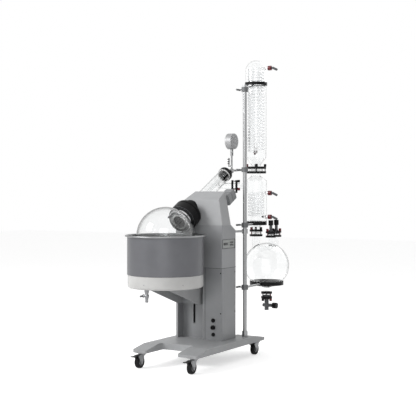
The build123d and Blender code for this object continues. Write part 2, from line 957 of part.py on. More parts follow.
four_studs = (31, 121, 211, 301)
three_studs = (1, 121, 241)
duct_studs = (90, 210, 330)
pairs = {
    "upper": FlangePair(
        level(condenser_x, condenser_y, pair1_z), pair1_r, pair1_thick, pair1_glass,
        pair1_glass_r, upper_neck_r, four_studs, (2,),
    ),
    "main": FlangePair(
        level(condenser_x, condenser_y, pair2_z), pair2_r, pair2_thick, pair2_glass,
        pair2_glass_r, lower_neck_r, three_studs, (2,),
    ),
    "near": FlangePair(
        level(near_x, near_y, small_pair_z), small_pair_r, small_pair_thick, small_pair_glass,
        small_pair_glass_r, small_neck_r, three_studs, (2,),
    ),
    "far": FlangePair(
        level(far_x, far_y, small_pair_z), small_pair_r, small_pair_thick, small_pair_glass,
        small_pair_glass_r, small_neck_r, three_studs, (0,),
    ),
    "outlet": FlangePair(
        level(receiver_x, receiver_y, outlet_pair_z), outlet_pair_r, outlet_pair_thick,
        outlet_pair_glass, outlet_pair_glass_r, outlet_neck_r, three_studs, (0,),
    ),
    "duct": FlangePair(
        duct_pair_plane, duct_pair_r, duct_pair_thick, duct_pair_glass,
        duct_pair_glass_r, duct_r, duct_studs, (1,),
    ),
}
with BuildPart() as flange_plates:
    for pair in pairs.values():
        for plate_plane in pair.plate_planes():
            with BuildSketch(plate_plane):
                Circle(pair.plate_r)
                Circle(pair.bore_r, mode=Mode.SUBTRACT)
                with Locations(*pair.stud_points()):
                    Circle(stud_r, mode=Mode.SUBTRACT)
            extrude(amount=pair.plate_t)


def add_knobs(pair, points, from_low_side):
    """Thumb knobs with their studs through both plates, on one side of a pair."""
    reach = pair.glass_t + pair.plate_t
    step = -1 if from_low_side else 1
    with BuildSketch(pair.plane.offset(-reach)) as studs:
        with Locations(*points):
            Circle(stud_r)
    extrude(studs.sketch, amount=reach * 2)
    with BuildSketch(pair.plane.offset(reach * step)) as knobs:
        with Locations(*points):
            RegularPolygon(knob_r, 6)
    extrude(knobs.sketch, amount=knob_height * step)


low_side_pairs = ("outlet",)
with BuildPart() as flange_knobs:
    for name, pair in pairs.items():
        points = pair.stud_points()
        black_points = [points[i] for i in range(len(points)) if i not in pair.red]
        add_knobs(pair, black_points, name in low_side_pairs)
with BuildPart() as red_knobs:
    for name, pair in pairs.items():
        points = pair.stud_points()
        add_knobs(pair, [points[i] for i in pair.red], name in low_side_pairs)

# Vapour housing: glass tube, drop leg and the first half of the duct
with BuildPart() as vapour_housing:
    for shrink, mode in ((0, Mode.ADD), (glass_wall, Mode.SUBTRACT)):
        with BuildSketch(along(vapour_seat_at)):
            Circle(vapour_r - shrink)
        extrude(amount=vapour_end_at - vapour_seat_at, mode=mode)
        with BuildSketch(level(bath_x, duct_root_y, duct_z)):
            Circle(duct_r - shrink)
        drop = flask_z + (duct_root_y - bath_y) * axis_dir[2] / axis_dir[1] - duct_z
        extrude(amount=drop, mode=mode)
        with Locations((bath_x, duct_root_y, duct_z)):
            Sphere(duct_r - shrink, mode=mode)
        with BuildSketch(facing(bath_x, duct_root_y, duct_z, duct_dir)):
            Circle(duct_r - shrink)
        extrude(amount=duct_pair_at, mode=mode)
    with BuildSketch(duct_pair_plane):
        Circle(duct_pair_glass_r)
        Circle(duct_r - glass_wall, mode=Mode.SUBTRACT)
    extrude(amount=-duct_pair_glass)

# Seal flange at the rear end, with its clamp knob
with BuildPart() as seal_flange:
    with BuildSketch(along(vapour_end_at)):
        Circle(seal_flange_r)
        Circle(feed_tube_r, mode=Mode.SUBTRACT)
    extrude(amount=seal_flange_end_at - vapour_end_at)
    chamfer(seal_flange.edges().filter_by(GeomType.CIRCLE).group_by(SortBy.RADIUS)[-1], length=glass_wall)

with BuildPart() as feed_tube:
    with BuildSketch(along(feed_tube_start_at)):
        Circle(feed_tube_r)
        Circle(feed_tube_r - feed_tube_wall, mode=Mode.SUBTRACT)
    extrude(amount=feed_tube_end_at - feed_tube_start_at)


def port_dir(angle):
    """Level direction at an angle from +X."""
    return (cos(radians(angle)), sin(radians(angle)), 0)


def cap_middle(base_r, rise):
    """Radius and drop below the top at the middle of a round cap's arc."""
    ball_r = (base_r * base_r + rise * rise) / (rise * 2)
    half_angle = asin(base_r / ball_r) / 2
    return ball_r * sin(half_angle), ball_r * (1 - cos(half_angle))


# Upper condenser jacket
dome_rise = dome_z - dome_low_z
with BuildPart() as upper_condenser:
    for shrink, mode in ((0, Mode.ADD), (glass_wall, Mode.SUBTRACT)):
        with BuildSketch(upright_profile(condenser_x, condenser_y)):
            with BuildLine():
                Polyline(
                    (0, dome_z - shrink),
                    (0, pair1_z),
                    (upper_neck_r - shrink, pair1_z),
                    (upper_neck_r - shrink, upper_shoulder_z - upper_shoulder_run),
                    (upper_r - shrink, upper_shoulder_z + upper_shoulder_run),
                    (upper_r - shrink, dome_low_z),
                )
                dome_mid_r, dome_mid_drop = cap_middle(upper_r - shrink, dome_rise - shrink)
                ThreePointArc(
                    (upper_r - shrink, dome_low_z),
                    (dome_mid_r, dome_z - shrink - dome_mid_drop),
                    (0, dome_z - shrink),
                )
            make_face()
        revolve(axis=condenser_axis, mode=mode)
        for z, angle in ((upper_port_z, 0), (upper_out_z, upper_out_angle)):
            with BuildSketch(facing(condenser_x, condenser_y, z, port_dir(angle))):
                Circle(port_r - min(shrink, port_wall))
            extrude(amount=port_reach, mode=mode)
    with BuildSketch(level(condenser_x, condenser_y, pair1_z)):
        Circle(pair1_glass_r)
        Circle(upper_neck_r - glass_wall, mode=Mode.SUBTRACT)
    extrude(amount=pair1_glass)

# Lower condenser jacket with the second half of the duct
duct_second = duct_length - duct_pair_at
with BuildPart() as lower_condenser:
    for shrink, mode in ((0, Mode.ADD), (glass_wall, Mode.SUBTRACT)):
        with BuildSketch(upright_profile(condenser_x, condenser_y)):
            with BuildLine():
                Polyline(
                    (0, pair1_z),
                    (0, pair2_z),
                    (lower_neck_r - shrink, pair2_z),
                    (lower_neck_r - shrink, lower_cone_z),
                    (lower_r - shrink, lower_low_z),
                    (lower_r - shrink, lower_top_z),
                    (upper_neck_r - shrink, lower_top_z + lower_shoulder_run * 2),
                    (upper_neck_r - shrink, pair1_z),
                    close=True,
                )
            make_face()
        revolve(axis=condenser_axis, mode=mode)
        for z in (lower_port_z, lower_out_z):
            with BuildSketch(facing(condenser_x, condenser_y, z, port_dir(0))):
                Circle(port_r - min(shrink, port_wall))
            extrude(amount=port_reach, mode=mode)
        with BuildSketch(duct_pair_plane):
            Circle(duct_r - shrink)
        extrude(amount=duct_second, mode=mode)
    with BuildSketch(level(condenser_x, condenser_y, pair1_z)):
        Circle(pair1_glass_r)
        Circle(upper_neck_r - glass_wall, mode=Mode.SUBTRACT)
    extrude(amount=-pair1_glass)
    with BuildSketch(level(condenser_x, condenser_y, pair2_z)):
        Circle(pair2_glass_r)
        Circle(lower_neck_r - glass_wall, mode=Mode.SUBTRACT)
    extrude(amount=pair2_glass)
    with BuildSketch(duct_pair_plane):
        Circle(duct_pair_glass_r)
        Circle(duct_r - glass_wall, mode=Mode.SUBTRACT)
    extrude(amount=duct_pair_glass)


def coil_path(radius, z_low, z_high, turns, start_angle):
    """Helix round the condenser axis, starting at an angle."""
    pitch = (z_high - z_low) / turns
    helix = Edge.make_helix(pitch, z_high - z_low, radius, center=(condenser_x, condenser_y, z_low))
    return helix.rotate(condenser_axis, start_angle)


def add_coil(radius, z_low, z_high, turns, start_angle, tail_angles):
    """Coiled tube with two straight tails out through the ports."""
    path = coil_path(radius, z_low, z_high, turns, start_angle)
    with BuildSketch(Plane(origin=path @ 0, z_dir=path % 0)) as tube:
        Circle(coil_tube_r)
    sweep(tube.sketch, path=path, is_frenet=True)
    for end, angle in zip((path @ 0, path @ 1), tail_angles):
        with Locations(end):
            Sphere(coil_tube_r)
        with BuildSketch(facing(end.X, end.Y, end.Z, port_dir(angle))) as tail:
            Circle(coil_tube_r)
        extrude(tail.sketch, amount=port_reach - radius)


upper_extra_turn = (360 - upper_out_angle) / 360
with BuildPart() as upper_coil:
    add_coil(
        upper_coil_r, upper_out_z, upper_port_z, upper_coil_turns + upper_extra_turn,
        upper_out_angle, (upper_out_angle, 0),
    )
with BuildPart() as lower_coil:
    add_coil(lower_coil_r, lower_out_z, lower_port_z, lower_coil_turns, 0, (0, 0))

# Red port caps and ribbed hose barbs
port_ends = ((upper_port_z, 0), (upper_out_z, upper_out_angle), (lower_port_z, 0), (lower_out_z, 0))
cap_end = cap_start + cap_thick
with BuildPart() as hose_caps:
    for z, angle in port_ends:
        outward = port_dir(angle)
        with BuildSketch(facing(condenser_x, condenser_y, z, outward).offset(cap_start)):
            Circle(cap_r)
            Circle(port_r, mode=Mode.SUBTRACT)
        extrude(amount=port_reach - cap_start)
        with BuildSketch(facing(condenser_x, condenser_y, z, outward).offset(port_reach)):
            Circle(cap_r)
            Circle(barb_r, mode=Mode.SUBTRACT)
        extrude(amount=cap_end - port_reach)
with BuildPart() as hose_barbs:
    for z, angle in port_ends:
        outward = port_dir(angle)
        base = facing(condenser_x, condenser_y, z, outward)
        with BuildSketch(base.offset(port_reach)):
            Circle(barb_r)
        extrude(amount=barb_reach - port_reach)
        for rib in range(barb_rib_count):
            with BuildSketch(base.offset(barb_reach - barb_rib_width * (rib * 2 + 1))):
                Circle(barb_r + barb_rib)
            extrude(amount=barb_rib_width, taper=15)
        with BuildSketch(base.offset(port_reach)):
            Circle(barb_bore_r)
        extrude(amount=barb_reach - port_reach, mode=Mode.SUBTRACT)

# Receiving flask: ball with three upright necks and a bottom outlet
main_neck_root = (condenser_x, condenser_y)
with BuildPart() as receiving_flask:
    for shrink, mode in ((0, Mode.ADD), (receiver_wall, Mode.SUBTRACT)):
        with Locations((receiver_x, receiver_y, receiver_z)):
            Sphere(receiver_r - shrink, mode=mode)
        neck_shrink = min(shrink, glass_wall)
        with BuildSketch(level(*main_neck_root, receiver_z)):
            Circle(lower_neck_r - neck_shrink)
        extrude(amount=pair2_z - receiver_z, mode=mode)
        with BuildSketch(level(0, 0, receiver_z)):
            with Locations((near_x, near_y), (far_x, far_y)):
                Circle(small_neck_r - neck_shrink)
        extrude(amount=small_pair_z - receiver_z, mode=mode)
        with BuildSketch(level(receiver_x, receiver_y, receiver_z)):
            Circle(outlet_neck_r - neck_shrink)
        extrude(amount=outlet_pair_z - receiver_z, mode=mode)
    with BuildSketch(level(*main_neck_root, pair2_z)):
        Circle(pair2_glass_r)
        Circle(lower_neck_r - glass_wall, mode=Mode.SUBTRACT)
    extrude(amount=-pair2_glass)
    with BuildSketch(level(0, 0, small_pair_z)):
        with Locations((near_x, near_y), (far_x, far_y)):
            Circle(small_pair_glass_r)
            Circle(small_neck_r - glass_wall, mode=Mode.SUBTRACT)
    extrude(amount=-small_pair_glass)
    with BuildSketch(level(receiver_x, receiver_y, outlet_pair_z)):
        Circle(outlet_pair_glass_r)
        Circle(outlet_neck_r - glass_wall, mode=Mode.SUBTRACT)
    extrude(amount=outlet_pair_glass)

# Valve bodies: two vent valves on the flask necks and the outlet stopcock below it
valve_plate_top = small_pair_z + small_pair_glass + small_pair_thick
outlet_plate_low = outlet_pair_z - outlet_pair_glass - outlet_pair_thick
with BuildPart() as valve_bodies:
    with BuildSketch(level(0, 0, small_pair_z)):
        with Locations((near_x, near_y), (far_x, far_y)):
            Circle(small_pair_glass_r)
    extrude(amount=small_pair_glass)
    with BuildSketch(level(0, 0, small_pair_z)):
        with Locations((near_x, near_y), (far_x, far_y)):
            Circle(small_neck_r)
    extrude(amount=valve_plate_top - small_pair_z + small_pair_glass)
    with BuildSketch(level(0, 0, small_pair_z)):
        with Locations((near_x, near_y), (far_x, far_y)):
            Circle(valve_stem_r)
    extrude(amount=valve_stem_top_z - small_pair_z)
    with BuildSketch(level(receiver_x, receiver_y, outlet_pair_z)):
        Circle(outlet_pair_glass_r)
    extrude(amount=-outlet_pair_glass)
    with BuildSketch(level(receiver_x, receiver_y, outlet_pair_z)):
        Circle(outlet_neck_r)
    extrude(amount=outlet_plate_low - outlet_pair_z - outlet_pair_glass)
    with BuildSketch(level(receiver_x, receiver_y, outlet_body_low_z)):
        Circle(outlet_body_r)
    extrude(amount=outlet_pair_z - outlet_body_low_z)
    with BuildSketch(Plane.YZ.offset(receiver_x - outlet_barrel_back)):
        with Locations((receiver_y, outlet_axis_z)):
            Circle(outlet_barrel_r)
    extrude(amount=outlet_barrel_back + outlet_barrel_end)
    with BuildSketch(level(receiver_x, receiver_y, outlet_body_low_z)):
        Circle(outlet_bore_r)
    extrude(amount=outlet_axis_z - outlet_barrel_r * 2 - outlet_body_low_z + outlet_bore_r, mode=Mode.SUBTRACT)

valve_knobs = {}
knob_low_z = valve_stem_top_z + valve_knob_gap
for name, spot in (("near", (near_x, near_y)), ("far", (far_x, far_y))):
    with BuildPart() as valve_knob:
        with BuildSketch(level(*spot, knob_low_z)):
            Circle(valve_knob_r)
            with PolarLocations(valve_knob_r, 8):
                Circle(valve_knob_gap * 4, mode=Mode.SUBTRACT)
        extrude(amount=valve_knob_height)
        chamfer(valve_knob.faces().sort_by(Axis.Z)[-1].edges(), length=valve_knob_gap * 2)
    valve_knobs[name] = valve_knob
outlet_knob_x = receiver_x + outlet_barrel_end + valve_knob_gap
with BuildPart() as outlet_valve_knob:
    with BuildSketch(Plane.YZ.offset(outlet_knob_x)):
        with Locations((receiver_y, outlet_axis_z)):
            Circle(outlet_knob_r)
            with PolarLocations(outlet_knob_r, 8):
                Circle(valve_knob_gap * 4, mode=Mode.SUBTRACT)
    extrude(amount=outlet_knob_length)

# Bath: outer body, skirt, steel pot with a rolled rim, and the heater ring
with BuildPart() as bath_shell:
    with BuildSketch(level(bath_x, bath_y, skirt_high_z)):
        Circle(shell_r)
        Circle(shell_r - shell_wall, mode=Mode.SUBTRACT)
    extrude(amount=bath_rim_z - rim_bead_r * 2 - skirt_high_z)
rim_low_z = bath_rim_z - rim_bead_r * 2
with BuildPart() as bath_pot:
    with BuildSketch(upright_profile(bath_x, bath_y)):
        with BuildLine():
            Polyline(
                (0, pot_floor_z),
                (pot_r, pot_floor_z),
                (pot_r, rim_low_z),
                (rim_r - rim_bead_r, rim_low_z),
                (rim_r - rim_bead_r, rim_low_z + rim_flange_thick),
                (pot_r - pot_wall, rim_low_z + rim_flange_thick),
                (pot_r - pot_wall, pot_floor_z + pot_wall),
                (0, pot_floor_z + pot_wall),
                close=True,
            )
        make_face()
    revolve(axis=bath_axis)
    with BuildSketch(upright_profile(bath_x, bath_y)):
        with Locations((rim_r - rim_bead_r, rim_low_z + rim_bead_r)):
            Circle(rim_bead_r)
    revolve(axis=bath_axis)
with BuildPart() as bath_skirt:
    with BuildSketch(level(bath_x, bath_y, skirt_low_z)):
        Circle(skirt_r)
    extrude(amount=skirt_high_z - skirt_low_z)
    fillet(bath_skirt.faces().sort_by(Axis.Z)[0].edges(), radius=skirt_edge_r)
    with BuildSketch(level(bath_x, bath_y, skirt_low_z + wall)):
        Circle(skirt_r - skirt_edge_r)
    extrude(amount=skirt_edge_r, mode=Mode.SUBTRACT)
    with BuildSketch(level(bath_x, bath_y, skirt_low_z + skirt_edge_r)):
        Circle(skirt_r - wall)
    extrude(amount=skirt_high_z - skirt_low_z, mode=Mode.SUBTRACT)
with BuildPart() as bath_heater:
    with BuildSketch(level(bath_x, bath_y, pot_floor_z)):
        Circle(heater_r)
        Circle(heater_hole_r, mode=Mode.SUBTRACT)
    extrude(amount=-heater_thick)

# Drain valve under the bath's front edge, and its lever
spout_y = chassis_y + spout_dy
with BuildPart() as drain_valve:
    with BuildSketch(level(bath_x, spout_y, spout_low_z)):
        Circle(spout_r)
    extrude(amount=spout_tip_length)
    with BuildSketch(level(bath_x, spout_y, spout_low_z + spout_tip_length)):
        Circle(spout_neck_r)
    extrude(amount=skirt_low_z - spout_low_z - spout_tip_length)
    with BuildSketch(level(bath_x, spout_y, skirt_low_z - spout_hex_height)):
        RegularPolygon(spout_hex_r, 6)
    extrude(amount=spout_hex_height)
    with Locations((bath_x, spout_y, valve_block_z)):
        Sphere(valve_block_r)
    with BuildSketch(Plane.YZ.offset(bath_x - lever_pivot_out)):
        with Locations((spout_y, valve_block_z)):
            Circle(lever_pivot_r * 2)
    extrude(amount=lever_pivot_out)
    with BuildSketch(level(bath_x, spout_y, spout_low_z)):
        Circle(spout_bore_r)
    extrude(amount=spout_r * 2, mode=Mode.SUBTRACT)
lever_x = bath_x - lever_pivot_out - free_gap
with BuildPart() as drain_handle:
    with BuildSketch(Plane.YZ.offset(lever_x)):
        with Locations((spout_y, valve_block_z)):
            Circle(lever_width)
        with Locations((spout_y - lever_length / 2, valve_block_z)):
            Rectangle(lever_length, lever_width)
    extrude(amount=-lever_thick)

# Lift: carriage in the recess, push rod in its tube, and the two bracket plates
carriage_y = chassis_y + carriage_dy
bracket_left_x = chassis_x + bracket_left_dx
bracket_right_x = chassis_x + bracket_right_dx
with BuildPart() as lift_carriage:
    with BuildSketch(Plane.XZ.offset(-carriage_y)):
        box_between(bracket_left_x, bracket_right_x, carriage_low_z, carriage_high_z)
    extrude(amount=-carriage_thick)
    with BuildSketch(level(0, 0, lift_arm_low_z)):
        arm_length = lift_axis_y - carriage_y - carriage_thick
        with Locations((bath_x, carriage_y + carriage_thick + arm_length / 2)):
            Rectangle(lift_arm_width, arm_length)
        with Locations((bath_x, lift_axis_y)):
            Circle(lift_arm_end_r)
    extrude(amount=lift_arm_height)
    with BuildSketch(level(bath_x, lift_axis_y, lift_arm_low_z)):
        Circle(lift_rod_r)
    extrude(amount=lift_rod_top_z - lift_arm_low_z)
with BuildPart() as lift_tube:
    with BuildSketch(level(bath_x, lift_axis_y, lift_tube_low_z)):
        Circle(lift_tube_r)
    extrude(amount=seam_z - wall - lift_tube_low_z)
    with BuildSketch(level(bath_x, lift_axis_y, lift_tube_low_z)):
        Circle(lift_rod_r + running)
    extrude(amount=lift_rod_top_z + lift_rod_r - lift_tube_low_z, mode=Mode.SUBTRACT)
with BuildPart() as bath_bracket:
    for plate_x in (bracket_left_x, bracket_right_x - bracket_thick):
        with BuildSketch(Plane.YZ.offset(plate_x)):
            with BuildLine():
                Polyline(
                    (carriage_y, carriage_low_z),
                    (chassis_y + bracket_front_low_dy, bracket_low_z),
                    (chassis_y + bracket_knee_dy, bracket_knee_z),
                    (chassis_y + bracket_front_dy, skirt_low_z),
                    (carriage_y, skirt_low_z),
                    close=True,
                )
            make_face()
        extrude(amount=bracket_thick)
    with BuildSketch(level(0, 0, skirt_low_z)):
        box_between(
            bracket_left_x, bracket_right_x, chassis_y + bracket_knee_dy,
            chassis_y + bracket_front_low_dy,
        )
    extrude(amount=-bracket_thick)

# Support rod with its foot and end cap
with BuildPart() as support_rod:
    with BuildSketch(level(rod_x, rod_y, chassis_top_z + rod_foot_height)):
        Circle(rod_r)
    extrude(amount=rod_top_z - chassis_top_z - rod_foot_height)
with BuildPart() as rod_foot:
    with BuildSketch(level(rod_x, rod_y, chassis_top_z)):
        Circle(rod_foot_r)
    extrude(amount=rod_foot_height)
with BuildPart() as rod_cap:
    with BuildSketch(level(rod_x, rod_y, rod_top_z)):
        Circle(rod_r)
    extrude(amount=rod_cap_height)


class RodArm:
    """A clamp on the support rod, and where its arm ends."""

    def __init__(self, clamp_z, end, end_gap):
        self.clamp_z = clamp_z
        self.end = Vector(*end)
        start = Vector(rod_x, rod_y, clamp_z)
        run = self.end - start
        self.direction = run.normalized()
        self.start = start + self.direction * (rod_r + arm_r / 2)
        self.length = run.length - end_gap - rod_r - arm_r / 2


hoop_out_r = upper_r + hoop_thick
arms = (
    RodArm(hoop_clamp_z, (condenser_x, condenser_y, hoop_z), hoop_out_r - hoop_thick / 4),
    RodArm(gauge_arm_z, (gauge_x, gauge_y, gauge_arm_z), gauge_clamp_r - arm_r / 2),
    RodArm(lower_ring_clamp_z, (condenser_x, condenser_y, lower_ring_clamp_z), ring_r - arm_r / 2),
    RodArm(receiver_ring_z, (receiver_x, receiver_y, receiver_ring_z), receiver_ring_r - arm_r / 2),
)
strut_x = chassis_x + strut_dx
strut_foot_y = rear_y + strut_flange_thick
strut = RodArm(strut_z, (strut_x, strut_foot_y, strut_z), 0)

# Clamps on the rod, each with a T-handle towards -X
with BuildPart() as boss_clamps:
    for arm in arms:
        low_z = arm.clamp_z - boss_clamp_height / 2
        with BuildSketch(level(rod_x, rod_y, low_z)):
            Circle(boss_clamp_r)
            Circle(rod_r, mode=Mode.SUBTRACT)
        extrude(amount=boss_clamp_height)
        handle_x = rod_x - boss_clamp_r - handle_stem_length
        with BuildSketch(Plane.YZ.offset(handle_x)):
            with Locations((rod_y, arm.clamp_z)):
                Circle(handle_stem_r)
        extrude(amount=handle_stem_length + handle_stem_r)
        with BuildSketch(Plane.XZ.offset(-rod_y - handle_bar_length / 2)):
            with Locations((handle_x, arm.clamp_z)):
                Circle(handle_bar_r)
        extrude(amount=handle_bar_length)
        with BuildSketch(Plane(origin=arm.start, z_dir=arm.direction)):
            Circle(arm_r)
        extrude(amount=boss_clamp_r, mode=Mode.SUBTRACT)

# Arms from the clamps to the rings and the gauge, and the strut from the cabinet
with BuildPart() as support_arms:
    for arm in arms:
        with BuildSketch(Plane(origin=arm.start, z_dir=arm.direction)):
            Circle(arm_r)
        extrude(amount=arm.length)
    with Locations((gauge_x, gauge_y, gauge_arm_z)):
        Cylinder(gauge_clamp_r, gauge_clamp_height)
    with BuildSketch(Plane(origin=strut.start, z_dir=strut.direction)):
        Circle(arm_r)
    extrude(amount=strut.length)
    with BuildSketch(Plane.XZ.offset(-rear_y)):
        with Locations((strut_x, strut_z)):
            Circle(strut_flange_r)
    extrude(amount=-strut_flange_thick)
    with BuildSketch(level(rod_x, rod_y, strut_z - boss_clamp_height / 2)):
        Circle(rod_r + wall * 2)
        Circle(rod_r, mode=Mode.SUBTRACT)
    extrude(amount=boss_clamp_height)
    with BuildSketch(level(gauge_x, gauge_y, gauge_arm_z - gauge_clamp_height)):
        Circle(gauge_stalk_r)
    extrude(amount=gauge_clamp_height * 2, mode=Mode.SUBTRACT)

# Rings: hoop round the upper glass, seat ring under the lower glass, ring under the flask
with BuildPart() as support_rings:
    with BuildSketch(level(condenser_x, condenser_y, hoop_z - hoop_height / 2)):
        Circle(hoop_out_r)
        Circle(upper_r, mode=Mode.SUBTRACT)
    extrude(amount=hoop_height)
    cone_slope = (lower_r - lower_neck_r) / (lower_low_z - lower_cone_z)
    seat_low_r = lower_neck_r + (ring_low_z - lower_cone_z) * cone_slope
    seat_top_z = lower_low_z - (lower_r - ring_r) / cone_slope
    with BuildSketch(upright_profile(condenser_x, condenser_y)):
        with BuildLine():
            Polyline((seat_low_r, ring_low_z), (ring_r, ring_low_z), (ring_r, seat_top_z), close=True)
        make_face()
    revolve(axis=condenser_axis)
    with BuildSketch(level(receiver_x, receiver_y, receiver_ring_z - receiver_ring_height / 2)):
        Circle(receiver_ring_r)
    extrude(amount=receiver_ring_height)
    with Locations((receiver_x, receiver_y, receiver_z)):
        Sphere(receiver_r, mode=Mode.SUBTRACT)
    for arm in arms:
        with BuildSketch(Plane(origin=arm.start, z_dir=arm.direction)):
            Circle(arm_r)
        extrude(amount=arm.length, mode=Mode.SUBTRACT)

# Vacuum gauge on its stalk, with the vacuum barb beside it
gauge_low_z = gauge_z - gauge_r
with BuildPart() as gauge_stem:
    with BuildSketch(level(gauge_x, gauge_y, gauge_stalk_low_z)):
        Circle(gauge_stalk_r)
    extrude(amount=gauge_hex_low_z - gauge_stalk_low_z)
    with BuildSketch(level(gauge_x, gauge_y, gauge_hex_low_z)):
        RegularPolygon(gauge_hex_r, 6)
    extrude(amount=gauge_low_z - gauge_hex_low_z)
    with BuildSketch(Plane.YZ.offset(gauge_x - vacuum_barb_out)):
        with Locations((gauge_y, vacuum_barb_low_z)):
            Circle(vacuum_barb_r)
    extrude(amount=vacuum_barb_out)
    with Locations((gauge_x - vacuum_barb_out, gauge_y, vacuum_barb_low_z)):
        Sphere(vacuum_barb_r)
    with BuildSketch(level(gauge_x - vacuum_barb_out, gauge_y, vacuum_barb_low_z)):
        Circle(vacuum_barb_r)
    extrude(amount=vacuum_barb_top_z - vacuum_barb_low_z)
    for rib in range(barb_rib_count):
        rib_z = vacuum_barb_top_z - barb_rib_width * (rib * 2 + 1)
        with BuildSketch(level(gauge_x - vacuum_barb_out, gauge_y, rib_z)):
            Circle(vacuum_barb_r + barb_rib)
        extrude(amount=barb_rib_width, taper=15)
gauge_left_x = gauge_x - gauge_depth / 2
dial_x = gauge_left_x + gauge_well
with BuildPart() as gauge_case:
    with BuildSketch(Plane.YZ.offset(gauge_left_x)):
        with Locations((gauge_y, gauge_z)):
            Circle(gauge_r)
    extrude(amount=gauge_depth)
    with BuildSketch(level(gauge_x, gauge_y, gauge_low_z - gauge_bezel)):
        RegularPolygon(gauge_hex_r, 6)
    extrude(amount=gauge_bezel, mode=Mode.SUBTRACT)
    fillet(gauge_case.faces().sort_by(Axis.X)[-1].edges(), radius=gauge_bezel)
    with BuildSketch(Plane.YZ.offset(gauge_left_x)):
        with Locations((gauge_y, gauge_z)):
            Circle(gauge_r - gauge_bezel)
    extrude(amount=gauge_well, mode=Mode.SUBTRACT)
    with BuildSketch(Plane.YZ.offset(dial_x)):
        with Locations((gauge_y, gauge_z)):
            Circle(needle_pin_r + running)
    extrude(amount=gauge_well, mode=Mode.SUBTRACT)
needle_back_x = dial_x - needle_thick
with BuildPart() as gauge_needle:
    with BuildSketch(Plane.YZ.offset(needle_back_x)):
        with Locations((gauge_y, gauge_z)):
            Circle(needle_hub_r)
        with Locations((gauge_y, gauge_z - (needle_length - needle_tail) / 2)):
            Rectangle(needle_width, needle_length + needle_tail)
    extrude(amount=-needle_thick)
    with BuildSketch(Plane.YZ.offset(needle_back_x)):
        with Locations((gauge_y, gauge_z)):
            Circle(needle_pin_r)
    extrude(amount=needle_thick + gauge_well / 2)

# Fittings and screws on the lower panels
fitting_x = chassis_x + fitting_dx
with BuildPart() as panel_fittings:
    with BuildSketch(Plane.XZ.offset(-front_y)):
        with Locations((fitting_x, button_z)):
            Circle(fitting_ring_r)
            Circle(button_r + running, mode=Mode.SUBTRACT)
    extrude(amount=fitting_ring_out)
    with BuildSketch(Plane.XZ.offset(-front_y)):
        with Locations((fitting_x, gland_z)):
            RegularPolygon(gland_r, 6)
            Circle(gland_bore_r, mode=Mode.SUBTRACT)
    extrude(amount=gland_out / 2)
    with BuildSketch(Plane.XZ.offset(-front_y + gland_out / 2)):
        with Locations((fitting_x, gland_z)):
            Circle(gland_nut_r)
            Circle(gland_bore_r, mode=Mode.SUBTRACT)
    extrude(amount=gland_out / 2)
    with BuildSketch(Plane.XZ.offset(-front_y)):
        with Locations((fitting_x, socket_z)):
            Circle(socket_r)
    extrude(amount=socket_out)
    with BuildSketch(Plane.XZ.offset(-front_y + socket_out)):
        with Locations((fitting_x, socket_z)):
            Circle(socket_hole_r)
    extrude(amount=-socket_hole_depth, mode=Mode.SUBTRACT)
with BuildPart() as power_button:
    with BuildSketch(Plane.XZ.offset(-front_y)):
        with Locations((fitting_x, button_z)):
            Circle(button_r)
    extrude(amount=button_out)
    chamfer(power_button.faces().sort_by(Axis.Y)[0].edges(), length=turn_gap * 2)
with BuildPart() as panel_screws:
    with BuildSketch(Plane.XZ.offset(-front_y)):
        with Locations(
            (chassis_x + panel_screw_front_dx, panel_screw_low_z),
            (chassis_x + panel_screw_front_dx, panel_screw_high_z),
        ):
            Circle(panel_screw_r)
    extrude(amount=panel_screw_out)
    with BuildSketch(Plane.YZ.offset(right_x)):
        with Locations(
            (chassis_y + panel_screw_side_dy, panel_screw_low_z),
            (chassis_y + panel_screw_side_dy, panel_screw_high_z),
        ):
            Circle(panel_screw_r)
    extrude(amount=panel_screw_out)

nodes = {
    "chassis": chassis,
    "caster_plates": caster_plates,
    "lower_cabinet": lower_cabinet,
    "upper_cabinet": upper_cabinet,
    "display_panel": display_panel,
    "head_cover": head_cover,
    "bearing_housing": bearing_housing,
    "vapour_rings": [rear_ring, seal_flange],
    "drive_motor": drive_motor,
    "drive_belt": drive_belt,
    "motor_pulley": motor_pulley,
    "drive_shaft": drive_shaft,
    "flask_clamp": flask_clamp,
    "evaporating_flask": evaporating_flask,
    "vapour_housing": vapour_housing,
    "feed_tube": feed_tube,
    "flange_plates": flange_plates,
    "flange_knobs": flange_knobs,
    "red_knobs": red_knobs,
    "upper_condenser": upper_condenser,
    "upper_coil": upper_coil,
    "lower_condenser": lower_condenser,
    "lower_coil": lower_coil,
    "hose_caps": hose_caps,
    "hose_barbs": hose_barbs,
    "receiving_flask": receiving_flask,
    "valve_bodies": valve_bodies,
    "near_valve_knob": valve_knobs["near"],
    "far_valve_knob": valve_knobs["far"],
    "outlet_valve_knob": outlet_valve_knob,
    "bath_shell": bath_shell,
    "bath_pot": bath_pot,
    "bath_skirt": bath_skirt,
    "bath_heater": bath_heater,
    "drain_valve": drain_valve,
    "drain_handle": drain_handle,
    "lift_carriage": lift_carriage,
    "lift_tube": lift_tube,
    "bath_bracket": bath_bracket,
    "support_rod": [support_rod, rod_foot, rod_cap],
    "boss_clamps": boss_clamps,
    "support_arms": support_arms,
    "support_rings": support_rings,
    "gauge_stem": gauge_stem,
    "gauge_case": gauge_case,
    "gauge_needle": gauge_needle,
    "panel_fittings": [panel_fittings, panel_screws],
    "power_button": power_button,
}
for node_name, builder in nodes.items():
    if isinstance(builder, list):
        solids = [solid for piece in builder for solid in piece.part.solids()]
        node_shape = Compound(children=solids)
    else:
        node_shape = builder.part
    node_shape.label = node_name
    export_step(node_shape, "parts/" + node_name + ".step")
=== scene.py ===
"""Looks of a floor-standing rotary evaporator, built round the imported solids. Metres, +Z up, front at -Y."""
import logging
import math
from dataclasses import dataclass
from enum import Enum

